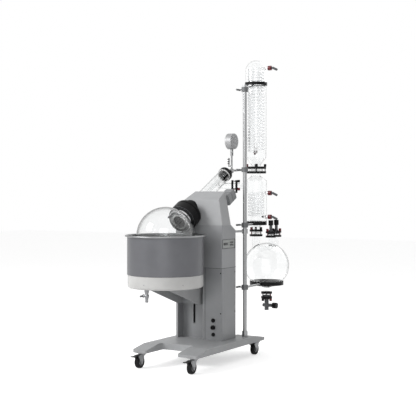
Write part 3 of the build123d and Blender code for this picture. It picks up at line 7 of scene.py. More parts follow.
import bmesh
import bpy
from mathutils import Matrix, Vector


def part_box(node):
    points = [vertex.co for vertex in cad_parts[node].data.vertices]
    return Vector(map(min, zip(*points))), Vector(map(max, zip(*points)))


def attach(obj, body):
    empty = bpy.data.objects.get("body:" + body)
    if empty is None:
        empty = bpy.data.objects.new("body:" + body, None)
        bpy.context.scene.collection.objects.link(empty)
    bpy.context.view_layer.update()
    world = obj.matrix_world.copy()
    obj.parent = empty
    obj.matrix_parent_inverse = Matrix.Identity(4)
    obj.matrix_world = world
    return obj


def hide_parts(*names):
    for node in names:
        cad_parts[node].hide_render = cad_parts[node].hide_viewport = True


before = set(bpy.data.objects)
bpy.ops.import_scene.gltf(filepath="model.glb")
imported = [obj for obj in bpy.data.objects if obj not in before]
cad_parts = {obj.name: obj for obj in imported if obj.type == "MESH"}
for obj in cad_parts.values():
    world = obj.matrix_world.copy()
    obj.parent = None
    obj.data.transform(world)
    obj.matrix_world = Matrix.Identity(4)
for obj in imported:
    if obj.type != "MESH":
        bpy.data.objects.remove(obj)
logging.basicConfig(level=logging.INFO, format="%(name)s: %(message)s")
LOG = logging.getLogger("evaporator")
Colour = tuple[float, float, float]
Point = tuple[float, float, float] | Vector
Outline = list[tuple[float, float]]
Mesh = bmesh.types.BMesh
Tree = bpy.types.NodeTree
Socket = bpy.types.NodeSocket
CORNERS = ("front_left", "front_right", "rear_left", "rear_right")
LEFT, RIGHT = (-1, 0, 0), (1, 0, 0)
FRONT, REAR = (0, -1, 0), (0, 1, 0)
SAME_POINT = 1e-6
SHARP_ANGLE = math.radians(35)
FINE_SIDES = 10
PHOTO_SIDE = 416


class Grain(Enum):
    """Directions a surface pattern can be stretched along."""

    EVEN = (1.0, 1.0, 1.0)
    ALONG_Z = (1.0, 1.0, 0.04)
    ROUND_Z = (1.0, 1.0, 14.0)


def noise(tree: Tree, where: Socket, scale: float, detail: float) -> Socket:
    """Adds a noise pattern.

    Args:
        tree: The material's node tree.
        where: Coordinates that the pattern reads.
        scale: How fine the pattern is.
        detail: How many finer layers it has.

    Returns:
        The pattern's value.
    """
    pattern = tree.nodes.new("ShaderNodeTexNoise")
    pattern.inputs["Scale"].default_value = scale
    pattern.inputs["Detail"].default_value = detail
    tree.links.new(where, pattern.inputs["Vector"])
    return pattern.outputs["Fac"]


def vary_roughness(tree: Tree, pattern: Socket, low: float, high: float) -> None:
    """Lets a pattern move the roughness between two values.

    Args:
        tree: The material's node tree.
        pattern: The pattern's value.
        low: Roughness where the pattern is nought.
        high: Roughness where it is one.
    """
    sheen = tree.nodes.new("ShaderNodeMapRange")
    sheen.inputs["To Min"].default_value = low
    sheen.inputs["To Max"].default_value = high
    tree.links.new(pattern, sheen.inputs["Value"])
    tree.links.new(sheen.outputs["Result"], tree.nodes["Principled BSDF"].inputs["Roughness"])


def raise_relief(tree: Tree, pattern: Socket, strength: float, depth: float) -> None:
    """Lets a pattern roughen the surface.

    Args:
        tree: The material's node tree.
        pattern: The pattern's value.
        strength: How strongly it shows.
        depth: Depth of the relief in metres.
    """
    relief = tree.nodes.new("ShaderNodeBump")
    relief.inputs["Strength"].default_value = strength
    relief.inputs["Distance"].default_value = depth
    tree.links.new(pattern, relief.inputs["Height"])
    tree.links.new(relief.outputs["Normal"], tree.nodes["Principled BSDF"].inputs["Normal"])


def two_tone(tree: Tree, value: Socket, first: tuple[float, Colour], last: tuple[float, Colour]) -> Socket:
    """Blends two colours by a value.

    Args:
        tree: The material's node tree.
        value: The value that chooses the colour.
        first: Value up to which the first colour stands, and that colour.
        last: Value from which the last colour stands, and that colour.

    Returns:
        The blended colour.
    """
    blend = tree.nodes.new("ShaderNodeValToRGB")
    for stop, (position, colour) in zip(blend.color_ramp.elements, (first, last)):
        stop.position = position
        stop.color = (*colour, 1)
    tree.links.new(value, blend.inputs["Fac"])
    return blend.outputs["Color"]


@dataclass(frozen=True)
class Surface:
    """What every finish has: a name, a colour and one material made from them."""

    name: str
    colour: Colour

    def make(self) -> bpy.types.Material:
        """Builds the material, or finds the one built before.

        Returns:
            The node material, kept once per name.
        """
        known = bpy.data.materials.get(self.name)
        if known:
            return known
        material = bpy.data.materials.new(self.name)
        material.use_nodes = True
        self.wire(material.node_tree)
        return material

    def wire(self, tree: Tree) -> None:
        """Sets up the shader of a new material."""
        raise NotImplementedError


@dataclass(frozen=True)
class Finish(Surface):
    """An opaque surface: slightly mottled colour, with a fine grain in its roughness and relief."""

    roughness: float = 0.45
    metallic: float = 0.0
    coat: float = 0.0
    coat_roughness: float = 0.12
    grain_scale: float = 900.0
    grain_detail: float = 4.0
    grain: Grain = Grain.EVEN
    sheen_share: float = 0.2
    mottle: float = 0.06
    mottle_scale: float = 9.0
    mottle_detail: float = 5.0
    mottle_from: float = 0.3
    mottle_to: float = 0.7
    bump: float = 0.06
    bump_depth: float = 0.0004
    specular: float = 0.5

    def wire(self, tree: Tree) -> None:
        """Sets up the shader of a new material.

        Args:
            tree: The material's node tree.
        """
        shader = tree.nodes["Principled BSDF"]
        shader.inputs["Metallic"].default_value = self.metallic
        shader.inputs["Coat Weight"].default_value = self.coat
        shader.inputs["Coat Roughness"].default_value = self.coat_roughness
        shader.inputs["Specular IOR Level"].default_value = self.specular
        place = tree.nodes.new("ShaderNodeTexCoord").outputs["Object"]
        stretch = tree.nodes.new("ShaderNodeMapping")
        stretch.inputs["Scale"].default_value = self.grain.value
        tree.links.new(place, stretch.inputs["Vector"])
        fine = noise(tree, stretch.outputs["Vector"], self.grain_scale, self.grain_detail)
        broad = noise(tree, place, self.mottle_scale, self.mottle_detail)
        dull = tuple(c * (1 - self.mottle) for c in self.colour)
        bright = tuple(min(1.0, c * (1 + self.mottle)) for c in self.colour)
        tint = two_tone(tree, broad, (self.mottle_from, dull), (self.mottle_to, bright))
        tree.links.new(tint, shader.inputs["Base Color"])
        smooth = self.roughness * (1 - self.sheen_share)
        rough = min(1.0, self.roughness * (1 + self.sheen_share))
        vary_roughness(tree, fine, smooth, rough)
        raise_relief(tree, fine, self.bump, self.bump_depth)


@dataclass(frozen=True)
class ClearGlass(Surface):
    """Blown borosilicate glass: clear face on, darker where the wall is seen edge on, faintly wavy."""

    rim: float = 0.06
    rim_start: float = 0.6
    rim_end: float = 0.9
    roughness: float = 0.01
    wave_scale: float = 9.0
    wave_detail: float = 2.0
    wave: float = 0.012
    wave_depth: float = 0.001
    ior: float = 1.45
    even_blend: float = 0.5

    def wire(self, tree: Tree) -> None:
        """Sets up the shader of a new material.

        Args:
            tree: The material's node tree.
        """
        shader = tree.nodes["Principled BSDF"]
        shader.inputs["Transmission Weight"].default_value = 1.0
        shader.inputs["IOR"].default_value = self.ior
        edge_on = tree.nodes.new("ShaderNodeLayerWeight")
        edge_on.inputs["Blend"].default_value = self.even_blend
        dark = tuple(c * self.rim for c in self.colour)
        tint = two_tone(tree, edge_on.outputs["Facing"], (self.rim_start, self.colour), (self.rim_end, dark))
        tree.links.new(tint, shader.inputs["Base Color"])
        tree.links.new(tint, shader.inputs["Specular Tint"])
        place = tree.nodes.new("ShaderNodeTexCoord").outputs["Object"]
        waves = noise(tree, place, self.wave_scale, self.wave_detail)
        vary_roughness(tree, waves, 0.0, self.roughness * 2)
        raise_relief(tree, waves, self.wave, self.wave_depth)


# One grey paint in four tones that carry light and shade. The lower cabinet is darker as painted shade. The
# upper cabinet, head and bath bracket are lighter as painted light.
CABINET_GREY_PAINTED_SHADE = Finish("cabinet_grey_painted_shade", (0.23, 0.235, 0.243), 0.42, coat=0.15, bump=0.1)
UPPER_GREY_PAINTED_LIGHT = Finish("upper_grey_painted_light", (0.27, 0.275, 0.284), 0.42, coat=0.15, bump=0.1)
HEAD_GREY_PAINTED_LIGHT = Finish("head_grey_painted_light", (0.335, 0.34, 0.348), 0.42, coat=0.15, bump=0.1)
CHASSIS_PAINT = Finish("chassis_gloss_grey", (0.31, 0.315, 0.322), 0.5, coat=0.06, bump=0.12)
BRACKET_GREY_PAINTED_LIGHT = Finish("bracket_grey_painted_light", (0.36, 0.365, 0.372), 0.42, coat=0.15, bump=0.1)
BATH_PAINT = Finish("bath_dark_grey", (0.13, 0.132, 0.142), 0.36, metallic=0.55, grain=Grain.ROUND_Z)
SKIRT_PAINT = Finish("skirt_warm_grey", (0.47, 0.468, 0.46), 0.4, coat=0.1)
BLACK_SATIN = Finish(
    "black_satin_casting", (0.004, 0.004, 0.0044), 0.4, bump=0.2, grain_scale=500, specular=0.12
)
BLACK_PLASTIC = Finish(
    "black_moulded", (0.005, 0.005, 0.0055), 0.42, bump=0.12, grain_scale=700, specular=0.14
)
RED_PLASTIC = Finish("dark_red_moulded", (0.13, 0.008, 0.012), 0.35, coat=0.2, specular=0.35)
GREY_PLASTIC = Finish("grey_moulded", (0.1, 0.103, 0.108), 0.45, specular=0.3)
STALK_METAL = Finish("stalk_metal", (0.26, 0.262, 0.265), 0.36, metallic=0.7)
TYRE_RUBBER = Finish("tyre_rubber", (0.01, 0.01, 0.0105), 0.75, bump=0.4, grain_scale=420, specular=0.2)
HUB_PLASTIC = Finish("caster_hub_grey", (0.2, 0.203, 0.21), 0.45)
STAINLESS = Finish(
    "polished_stainless", (0.3, 0.303, 0.307), 0.3, metallic=1.0, grain=Grain.ALONG_Z, mottle=0.03
)
SPUN_STEEL = Finish("spun_stainless", (0.25, 0.253, 0.257), 0.34, metallic=1.0, grain=Grain.ROUND_Z, bump=0.1)
ZINC = Finish("zinc_plate", (0.24, 0.243, 0.25), 0.34, metallic=0.9, mottle=0.12, mottle_scale=60)
ALUMINIUM = Finish("machined_aluminium", (0.74, 0.745, 0.75), 0.3, metallic=1.0, grain_scale=1400)
DARK_CLAMP = Finish("clamp_dark_metal", (0.09, 0.091, 0.093), 0.36, metallic=0.8, bump=0.2, grain_scale=500)
CAST_CLAMP = Finish("cast_grey_clamp", (0.13, 0.133, 0.137), 0.5, metallic=0.5, bump=0.3, grain_scale=350)
GAUGE_PAINT = Finish("gauge_case_grey", (0.37, 0.373, 0.378), 0.5, metallic=0.4)
DIAL_WHITE = Finish("dial_white", (0.8, 0.8, 0.78), 0.5)
SCREEN_DARK = Finish("screen_dark", (0.01, 0.012, 0.015), 0.15, bump=0.0)
PANEL_FILM = Finish("panel_film", (0.3, 0.315, 0.305), 0.35, coat=0.2)
SEAM_DARK = Finish("seam_dark", (0.02, 0.02, 0.021), 0.7, specular=0.2)
SEAL_WHITE = Finish("seal_white", (0.78, 0.78, 0.77), 0.4, mottle=0.02)
CLEAR = ClearGlass("clear_glass", (0.985, 0.99, 0.99))
FLASK_GLASS = ClearGlass("flask_glass", (0.985, 0.99, 0.99), rim=0.01, rim_start=0.54, rim_end=0.82)
JACKET_GLASS = ClearGlass(
    "jacket_glass", (0.985, 0.99, 0.99), rim=0.03, rim_start=0.7, roughness=0.0, wave=0.002
)
COIL_GLASS = ClearGlass("coil_glass", (0.93, 0.935, 0.94), rim=0.06, rim_start=0.4, roughness=0.0, wave=0.002)
TUBE_GLASS = ClearGlass("tube_glass", (0.97, 0.975, 0.975), rim=0.1, rim_start=0.6)

WEARERS = {
    CHASSIS_PAINT: ("chassis",),
    ZINC: ("caster_plates", "drain_valve", "drain_handle", *(f"fork_{corner}" for corner in CORNERS)),
    CABINET_GREY_PAINTED_SHADE: ("lower_cabinet", "drive_motor", "lift_carriage"),
    UPPER_GREY_PAINTED_LIGHT: ("upper_cabinet",),
    PANEL_FILM: ("display_panel",),
    HEAD_GREY_PAINTED_LIGHT: ("head_cover",),
    BLACK_SATIN: ("bearing_housing",),
    BLACK_PLASTIC: (
        "vapour_rings", "flange_plates", "flange_knobs", "near_valve_knob", "far_valve_knob",
        "outlet_valve_knob", "support_rings", "gauge_needle", "panel_fittings", "power_button",
        *(f"pedal_{corner}" for corner in CORNERS),
    ),
    TYRE_RUBBER: ("drive_belt", *(f"wheel_{corner}" for corner in CORNERS)),
    ALUMINIUM: ("motor_pulley", "lift_tube"),
    STAINLESS: ("drive_shaft", "support_rod", "support_arms"),
    DARK_CLAMP: ("flask_clamp",),
    FLASK_GLASS: ("evaporating_flask",),
    CLEAR: ("vapour_housing", "receiving_flask"),
    TUBE_GLASS: ("feed_tube",),
    RED_PLASTIC: ("red_knobs", "hose_caps"),
    JACKET_GLASS: ("upper_condenser", "lower_condenser"),
    COIL_GLASS: ("upper_coil", "lower_coil"),
    GREY_PLASTIC: ("hose_barbs", "valve_bodies"),
    BATH_PAINT: ("bath_shell",),
    SPUN_STEEL: ("bath_pot",),
    SKIRT_PAINT: ("bath_skirt",),
    CAST_CLAMP: ("bath_heater", "boss_clamps"),
    BRACKET_GREY_PAINTED_LIGHT: ("bath_bracket",),
    STALK_METAL: ("gauge_stem",),
    GAUGE_PAINT: ("gauge_case",),
}
NODE_FINISHES = {node: finish for finish, nodes in WEARERS.items() for node in nodes}


@dataclass(frozen=True)
class Box:
    """A node's box at rest, by its lowest and highest corner."""

    low: Vector
    high: Vector

    @classmethod
    def of(cls, node: str) -> "Box":
        """Box of a named node."""
        low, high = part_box(node)
        return cls(Vector(low), Vector(high))

    @property
    def middle(self) -> Vector:
        """Centre of the box."""
        return (self.low + self.high) / 2

    @property
    def size(self) -> Vector:
        """Length along each axis."""
        return self.high - self.low


def aimed(centre: Point, direction: Point) -> Matrix:
    """Placement whose local Z points in a direction.

    Args:
        centre: Where the local origin goes.
        direction: The way local Z points.

    Returns:
        The placement matrix.
    """
    turn = Vector(direction).to_track_quat("Z", "Y").to_matrix().to_4x4()
    return Matrix.Translation(Vector(centre)) @ turn


def moved(x: float, y: float, z: float) -> Matrix:
    """Placement that only shifts."""
    return Matrix.Translation((x, y, z))


def mirrored(half: Outline) -> Outline:
    """Closed outline made of a half above height nought and its mirror image below."""
    return [(radius, -height) for radius, height in half] + half[::-1]


def turned(outline: Outline, place: Matrix, steps: int = 48) -> Mesh:
    """Spins a closed outline of (radius, height) points round local Z.

    Args:
        outline: Points of the closed outline.
        place: Where the turned shape goes.
        steps: Steps in the full turn.

    Returns:
        The turned mesh.
    """
    mesh = bmesh.new()
    points = [mesh.verts.new((radius, 0.0, height)) for radius, height in outline]
    edges = [mesh.edges.new((a, b)) for a, b in zip(points, points[1:] + points[:1])]
    bmesh.ops.spin(
        mesh, geom=points + edges, cent=(0, 0, 0), axis=(0, 0, 1), dvec=(0, 0, 0),
        angle=math.tau, steps=steps, use_merge=True, use_duplicate=False,
    )
    bmesh.ops.remove_doubles(mesh, verts=mesh.verts, dist=SAME_POINT)
    bmesh.ops.recalc_face_normals(mesh, faces=mesh.faces)
    bmesh.ops.transform(mesh, matrix=place, verts=mesh.verts)
    return mesh


def ring(radius: float, thick: float, place: Matrix, sides: int = 8, steps: int = 48) -> Mesh:
    """Turns a ring with a round section.

    Args:
        radius: From the axis to the middle of the section.
        thick: Radius of the section.
        place: Where the ring's centre goes.
        sides: Points round the section.
        steps: Steps in the full turn.

    Returns:
        The ring's mesh.
    """
    turns = [math.tau * index / sides for index in range(sides)]
    section = [(radius + thick * math.cos(turn), thick * math.sin(turn)) for turn in turns]
    return turned(section, place, steps)


def rounded_block(size: Point, place: Matrix, edge: float) -> Mesh:
    """Block with its edges rounded.

    Args:
        size: Length along each local axis.
        place: Where the block's middle goes.
        edge: Rounding radius.

    Returns:
        The rounded block.
    """
    mesh = bmesh.new()
    bmesh.ops.create_cube(mesh, size=1.0)
    bmesh.ops.scale(mesh, vec=size, verts=mesh.verts)
    bmesh.ops.bevel(
        mesh, geom=list(mesh.edges), offset=edge, segments=3, affect="EDGES", profile=0.5, material=-1
    )
    bmesh.ops.transform(mesh, matrix=place, verts=mesh.verts)
    return mesh


def joined(meshes: list[Mesh]) -> Mesh:
    """Gathers meshes into one and frees them.

    Args:
        meshes: The meshes to gather.

    Returns:
        One mesh that holds all of them.
    """
    whole = bmesh.new()
    for part in meshes:
        scratch = bpy.data.meshes.new("scratch")
        part.to_mesh(scratch)
        part.free()
        whole.from_mesh(scratch)
        bpy.data.meshes.remove(scratch)
    return whole


def put(name: str, mesh: Mesh, finish: Surface, body: str) -> bpy.types.Object:
    """Makes a piece out of a mesh, dresses it and lets it ride on a body.

    Args:
        name: The piece's name.
        mesh: Its shape, in place.
        finish: Its surface.
        body: The body it moves with.

    Returns:
        The new object.
    """
    data = bpy.data.meshes.new(name)
    mesh.to_mesh(data)
    mesh.free()
    data.shade_smooth()
    data.set_sharp_from_angle(angle=SHARP_ANGLE)
    data.materials.append(finish.make())
    piece = bpy.data.objects.new(name, data)
    bpy.context.scene.collection.objects.link(piece)
    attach(piece, body)
    LOG.info("%s rides on %s", name, body)
    return piece


@dataclass(frozen=True)
class Screw:
    """Pan-head screw with a dished recess."""

    radius: float = 0.004
    height: float = 0.0016
    sink: float = 0.0006
    side_share: float = 0.4
    crown_r_share: float = 0.8
    crown_share: float = 0.85
    dish_r_share: float = 0.4
    dish_share: float = 0.5
    steps: int = 20

    def on(self, spot: Point, outward: Point) -> Mesh:
        """Stands a screw on a surface.

        Args:
            spot: The point on the surface.
            outward: The surface's outward direction.

        Returns:
            The screw's mesh.
        """
        outline = [
            (0.0, -self.sink),
            (self.radius, -self.sink),
            (self.radius, self.height * self.side_share),
            (self.radius * self.crown_r_share, self.height * self.crown_share),
            (self.radius * self.dish_r_share, self.height),
            (0.0, self.height * self.dish_share),
        ]
        return turned(outline, aimed(spot, outward), self.steps)


@dataclass
class Casters:
    """Tyres with a grooved tread, dished hubs and axle nuts, in place of the plain wheels."""

    wheel_r: float = 0.0375
    half_width: float = 0.013
    shoulder: float = 0.004
    shoulder_drop: float = 0.0012
    shoulder_step: float = 0.0016
    groove_depth: float = 0.0012
    groove_from: float = 0.002
    groove_floor_from: float = 0.0026
    groove_floor_to: float = 0.0036
    groove_to: float = 0.0042
    tyre_steps: int = 56
    rim_r: float = 0.0215
    rim_share: float = 0.96
    lip_r: float = 0.019
    lip_share: float = 0.92
    web_r: float = 0.0175
    web_share: float = 0.42
    boss_foot_r: float = 0.0105
    boss_foot_share: float = 0.5
    boss_r: float = 0.0095
    boss_share: float = 0.9
    bore_r: float = 0.00415
    nut_r: float = 0.0055
    nut_height: float = 0.003
    nut_edge: float = 0.0006
    nut_at: float = 0.0192

    def tyre_outline(self) -> Outline:
        """Outline of the tyre's section, with two grooves in the tread.

        Returns:
            The closed outline.
        """
        floor_r = self.wheel_r - self.groove_depth
        half = [
            (self.rim_r, self.half_width),
            (self.wheel_r - self.shoulder, self.half_width),
            (self.wheel_r - self.shoulder_drop, self.half_width - self.shoulder_step),
            (self.wheel_r, self.half_width - self.shoulder),
            (self.wheel_r, self.groove_to),
            (floor_r, self.groove_floor_to),
            (floor_r, self.groove_floor_from),
            (self.wheel_r, self.groove_from),
        ]
        return mirrored(half)

    def hub_outline(self) -> Outline:
        """Outline of the hub's section: boss, thin web, lip and rim.

        Returns:
            The closed outline.
        """
        half = [
            (self.bore_r, self.half_width * self.boss_share),
            (self.boss_r, self.half_width * self.boss_share),
            (self.boss_foot_r, self.half_width * self.boss_foot_share),
            (self.web_r, self.half_width * self.web_share),
            (self.lip_r, self.half_width * self.lip_share),
            (self.rim_r, self.half_width * self.rim_share),
        ]
        return mirrored(half)

    def axle_nuts(self, wheel: Matrix) -> Mesh:
        """Hexagon nuts at both ends of an axle.

        Args:
            wheel: The wheel's placement, with local Z along the axle.

        Returns:
            The mesh of both nuts.
        """
        nuts = []
        for side in (-1, 1):
            nut = bmesh.new()
            bmesh.ops.create_cone(
                nut, cap_ends=True, segments=6, radius1=self.nut_r, radius2=self.nut_r, depth=self.nut_height
            )
            bmesh.ops.bevel(
                nut, geom=list(nut.edges), offset=self.nut_edge, segments=2, affect="EDGES", profile=0.5,
                material=-1,
            )
            bmesh.ops.transform(nut, matrix=wheel @ moved(0, 0, side * self.nut_at), verts=nut.verts)
            nuts.append(nut)
        return joined(nuts)

    def build(self) -> None:
        """Builds and dresses every wheel."""
        for corner in CORNERS:
            body = f"wheel_{corner}"
            place = aimed(Box.of(body).middle, RIGHT)
            tyre = put(
                f"tyre_{corner}", turned(self.tyre_outline(), place, self.tyre_steps), TYRE_RUBBER, body
            )
            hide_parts(body)
            put(f"hub_{corner}", turned(self.hub_outline(), place), HUB_PLASTIC, body)
            put(f"axle_nuts_{corner}", self.axle_nuts(place), ZINC, f"caster_{corner}")


@dataclass
class Panels:
    """Screws, seams, painted edge highlights, collars and vent slots on the cabinet and head."""

    base: Box = Box.of("lower_cabinet")
    upper: Box = Box.of("upper_cabinet")
    head: Box = Box.of("head_cover")
    screw: Screw = Screw()
    side_front_in: float = 0.014
    side_rear_in: float = 0.012
    rear_in: float = 0.03
    screw_above_foot: float = 0.04
    screw_below_top: float = 0.03
    upper_screw_low: float = 0.03
    upper_screw_high: float = 0.19
    seam_edge: float = 0.0008
    cabinet_seam_proud: float = 0.0006
    cabinet_seam_height: float = 0.0022
    head_seam_in: float = 0.001
    head_seam_height: float = 0.0014
    head_seam_drop: float = 0.0004
    recess_left_in: float = 0.0142
    recess_right_in: float = 0.2028
    recess_strip_width: float = 0.0055
    recess_strip_depth: float = 0.0024
    recess_strip_proud: float = 0.0004
    recess_strip_edge: float = 0.001
    strip_short: float = 0.004
    groove_in: float = 0.217
    groove_width: float = 0.0016
    groove_depth: float = 0.0012
    groove_edge: float = 0.0004
    button_collar_r: float = 0.0125
    gland_drop: float = 0.043
    gland_collar_r: float = 0.0145
    socket_drop: float = 0.087
    socket_collar_r: float = 0.0125
    collar_height: float = 0.0016
    collar_in: float = 0.0012
    collar_foot: float = 0.001
    collar_lip: float = 0.0006
    collar_steps: int = 36
    vent_count: int = 8
    vent_low: float = 0.1
    vent_pitch: float = 0.012
    vent_slot: Point = (0.12, 0.0016, 0.004)
    vent_edge: float = 0.0007

    def screws(self) -> None:
        """Builds the screws down both sides and the back."""
        base, upper = self.base, self.upper
        low_z = base.low.z + self.screw_above_foot
        high_z = base.high.z - self.screw_below_top
        heads = []
        for y in (base.low.y + self.side_front_in, base.high.y - self.side_rear_in):
            for z in (low_z, base.middle.z, high_z):
                heads.append(self.screw.on((base.high.x, y, z), RIGHT))
                heads.append(self.screw.on((base.low.x, y, z), LEFT))
        upper_heights = (upper.low.z + self.upper_screw_low, upper.low.z + self.upper_screw_high)
        for x in (base.low.x + self.rear_in, base.high.x - self.rear_in):
            for z in (low_z, high_z, *upper_heights):
                heads.append(self.screw.on((x, base.high.y, z), REAR))
        put("panel_screw_heads", joined(heads), ZINC, "root")

    def seams(self) -> None:
        """Builds the dark lines where the cabinet's shells and the head meet."""
        upper, head = self.upper, self.head
        size = (
            upper.size.x + self.cabinet_seam_proud,
            upper.size.y + self.cabinet_seam_proud,
            self.cabinet_seam_height,
        )
        place = moved(upper.middle.x, upper.middle.y, upper.low.z)
        put("cabinet_seam", rounded_block(size, place, self.seam_edge), SEAM_DARK, "root")
        size = (head.size.x - self.head_seam_in, head.size.y - self.head_seam_in, self.head_seam_height)
        place = moved(head.middle.x, head.middle.y, head.low.z - self.head_seam_drop)
        put("head_seam", rounded_block(size, place, self.seam_edge), SEAM_DARK, "root")

    def recess_trim(self) -> None:
        """Builds lighter strips down both edges of the lift recess as painted highlights, and the groove in
        the front panel.
        """
        base = self.base
        length = base.size.z - self.strip_short
        strip = (self.recess_strip_width, self.recess_strip_depth, length)
        strips = []
        for distance in (self.recess_left_in, self.recess_right_in):
            place = moved(base.low.x + distance, base.low.y - self.recess_strip_proud, base.middle.z)
            strips.append(rounded_block(strip, place, self.recess_strip_edge))
        # The strips wear the lighter head paint, a painted highlight along both edges of the recess.
        put("recess_edge_highlights", joined(strips), HEAD_GREY_PAINTED_LIGHT, "root")
        place = moved(base.low.x + self.groove_in, base.low.y, base.middle.z)
        groove = rounded_block((self.groove_width, self.groove_depth, length), place, self.groove_edge)
        put("front_panel_groove", groove, SEAM_DARK, "root")

    def fitting_collars(self) -> None:
        """Builds the short bright collars round the button, gland and socket."""
        base = self.base
        button = Box.of("power_button").middle
        collars = []
        for drop, radius in (
            (0.0, self.button_collar_r),
            (self.gland_drop, self.gland_collar_r),
            (self.socket_drop, self.socket_collar_r),
        ):
            outline = [
                (radius - self.collar_in, 0.0),
                (radius + self.collar_foot, 0.0),
                (radius + self.collar_lip, self.collar_height),
                (radius - self.collar_in, self.collar_height),
            ]
            place = aimed((button.x, base.low.y, button.z - drop), FRONT)
            collars.append(turned(outline, place, self.collar_steps))
        put("fitting_collars", joined(collars), ZINC, "root")

    def rear_vent(self) -> None:
        """Builds the vent slots at the back."""
        base = self.base
        slots = []
        for row in range(self.vent_count):
            place = moved(base.middle.x, base.high.y, base.low.z + self.vent_low + row * self.vent_pitch)
            slots.append(rounded_block(self.vent_slot, place, self.vent_edge))
        put("rear_vent", joined(slots), SEAM_DARK, "root")

    def build(self) -> None:
        """Builds every piece of trim on the cabinet and head."""
        self.screws()
        self.seams()
        self.recess_trim()
        self.fitting_collars()
        self.rear_vent()


@dataclass
class ControlPanel:
    """Screen, six keys and a dark frame of painted shade round the display plate."""

    plate: Box = Box.of("display_panel")
    border: float = 0.003
    screen_margin: float = 0.014
    screen_half: float = 0.031
    screen_size: Point = (0.001, 0.052, 0.015)
    screen_in: float = 0.0023
    screen_edge: float = 0.0004
    bar: float = 0.001
    bar_depth: float = 0.0032
    bar_out: float = 0.0012
    bar_edge: float = 0.0005
    key_margin: float = 0.012
    keys_half: float = 0.026
    key_size: float = 0.011
    key_pitch: float = 0.015
    key_thick: float = 0.0014
    key_out: float = 0.0004
    key_edge: float = 0.0006

    def screen(self) -> None:
        """Builds the screen glass."""
        plate = self.plate
        y = plate.low.y + self.border + self.screen_margin + self.screen_half
        place = moved(plate.high.x - self.screen_in, y, plate.middle.z)
        glass = rounded_block(self.screen_size, place, self.screen_edge)
        put("screen_glass", glass, SCREEN_DARK, "root")

    def shade_bars(self) -> None:
        """Builds dark bars round the plate, painted shade where the plate sits recessed."""
        plate = self.plate
        x = plate.high.x + self.bar_out
        shade_bars = []
        for y in (plate.low.y + self.bar, plate.high.y - self.bar):
            size = (self.bar_depth, self.bar * 2, plate.size.z)
            shade_bars.append(rounded_block(size, moved(x, y, plate.middle.z), self.bar_edge))
        for z in (plate.low.z + self.bar, plate.high.z - self.bar):
            size = (self.bar_depth, plate.size.y, self.bar * 2)
            shade_bars.append(rounded_block(size, moved(x, plate.middle.y, z), self.bar_edge))
        # Dark bars standing proud round the plate, painted shade of the recess's edges.
        put("display_recess_shade", joined(shade_bars), SEAM_DARK, "root")

    def keys(self) -> None:
        """Builds two rows of three keys."""
        plate = self.plate
        y = plate.high.y - self.border - self.key_margin - self.keys_half
        keys = []
        for row in (-0.5, 0.5):
            for column in (-1, 0, 1):
                place = moved(
                    plate.high.x + self.key_out,
                    y + column * self.key_pitch,
                    plate.middle.z + row * self.key_pitch,
                )
                size = (self.key_thick, self.key_size, self.key_size)
                keys.append(rounded_block(size, place, self.key_edge))
        put("panel_keys", joined(keys), SCREEN_DARK, "root")

    def build(self) -> None:
        """Builds the screen, the painted-shade frame and the keys."""
        self.screen()
        self.shade_bars()
        self.keys()


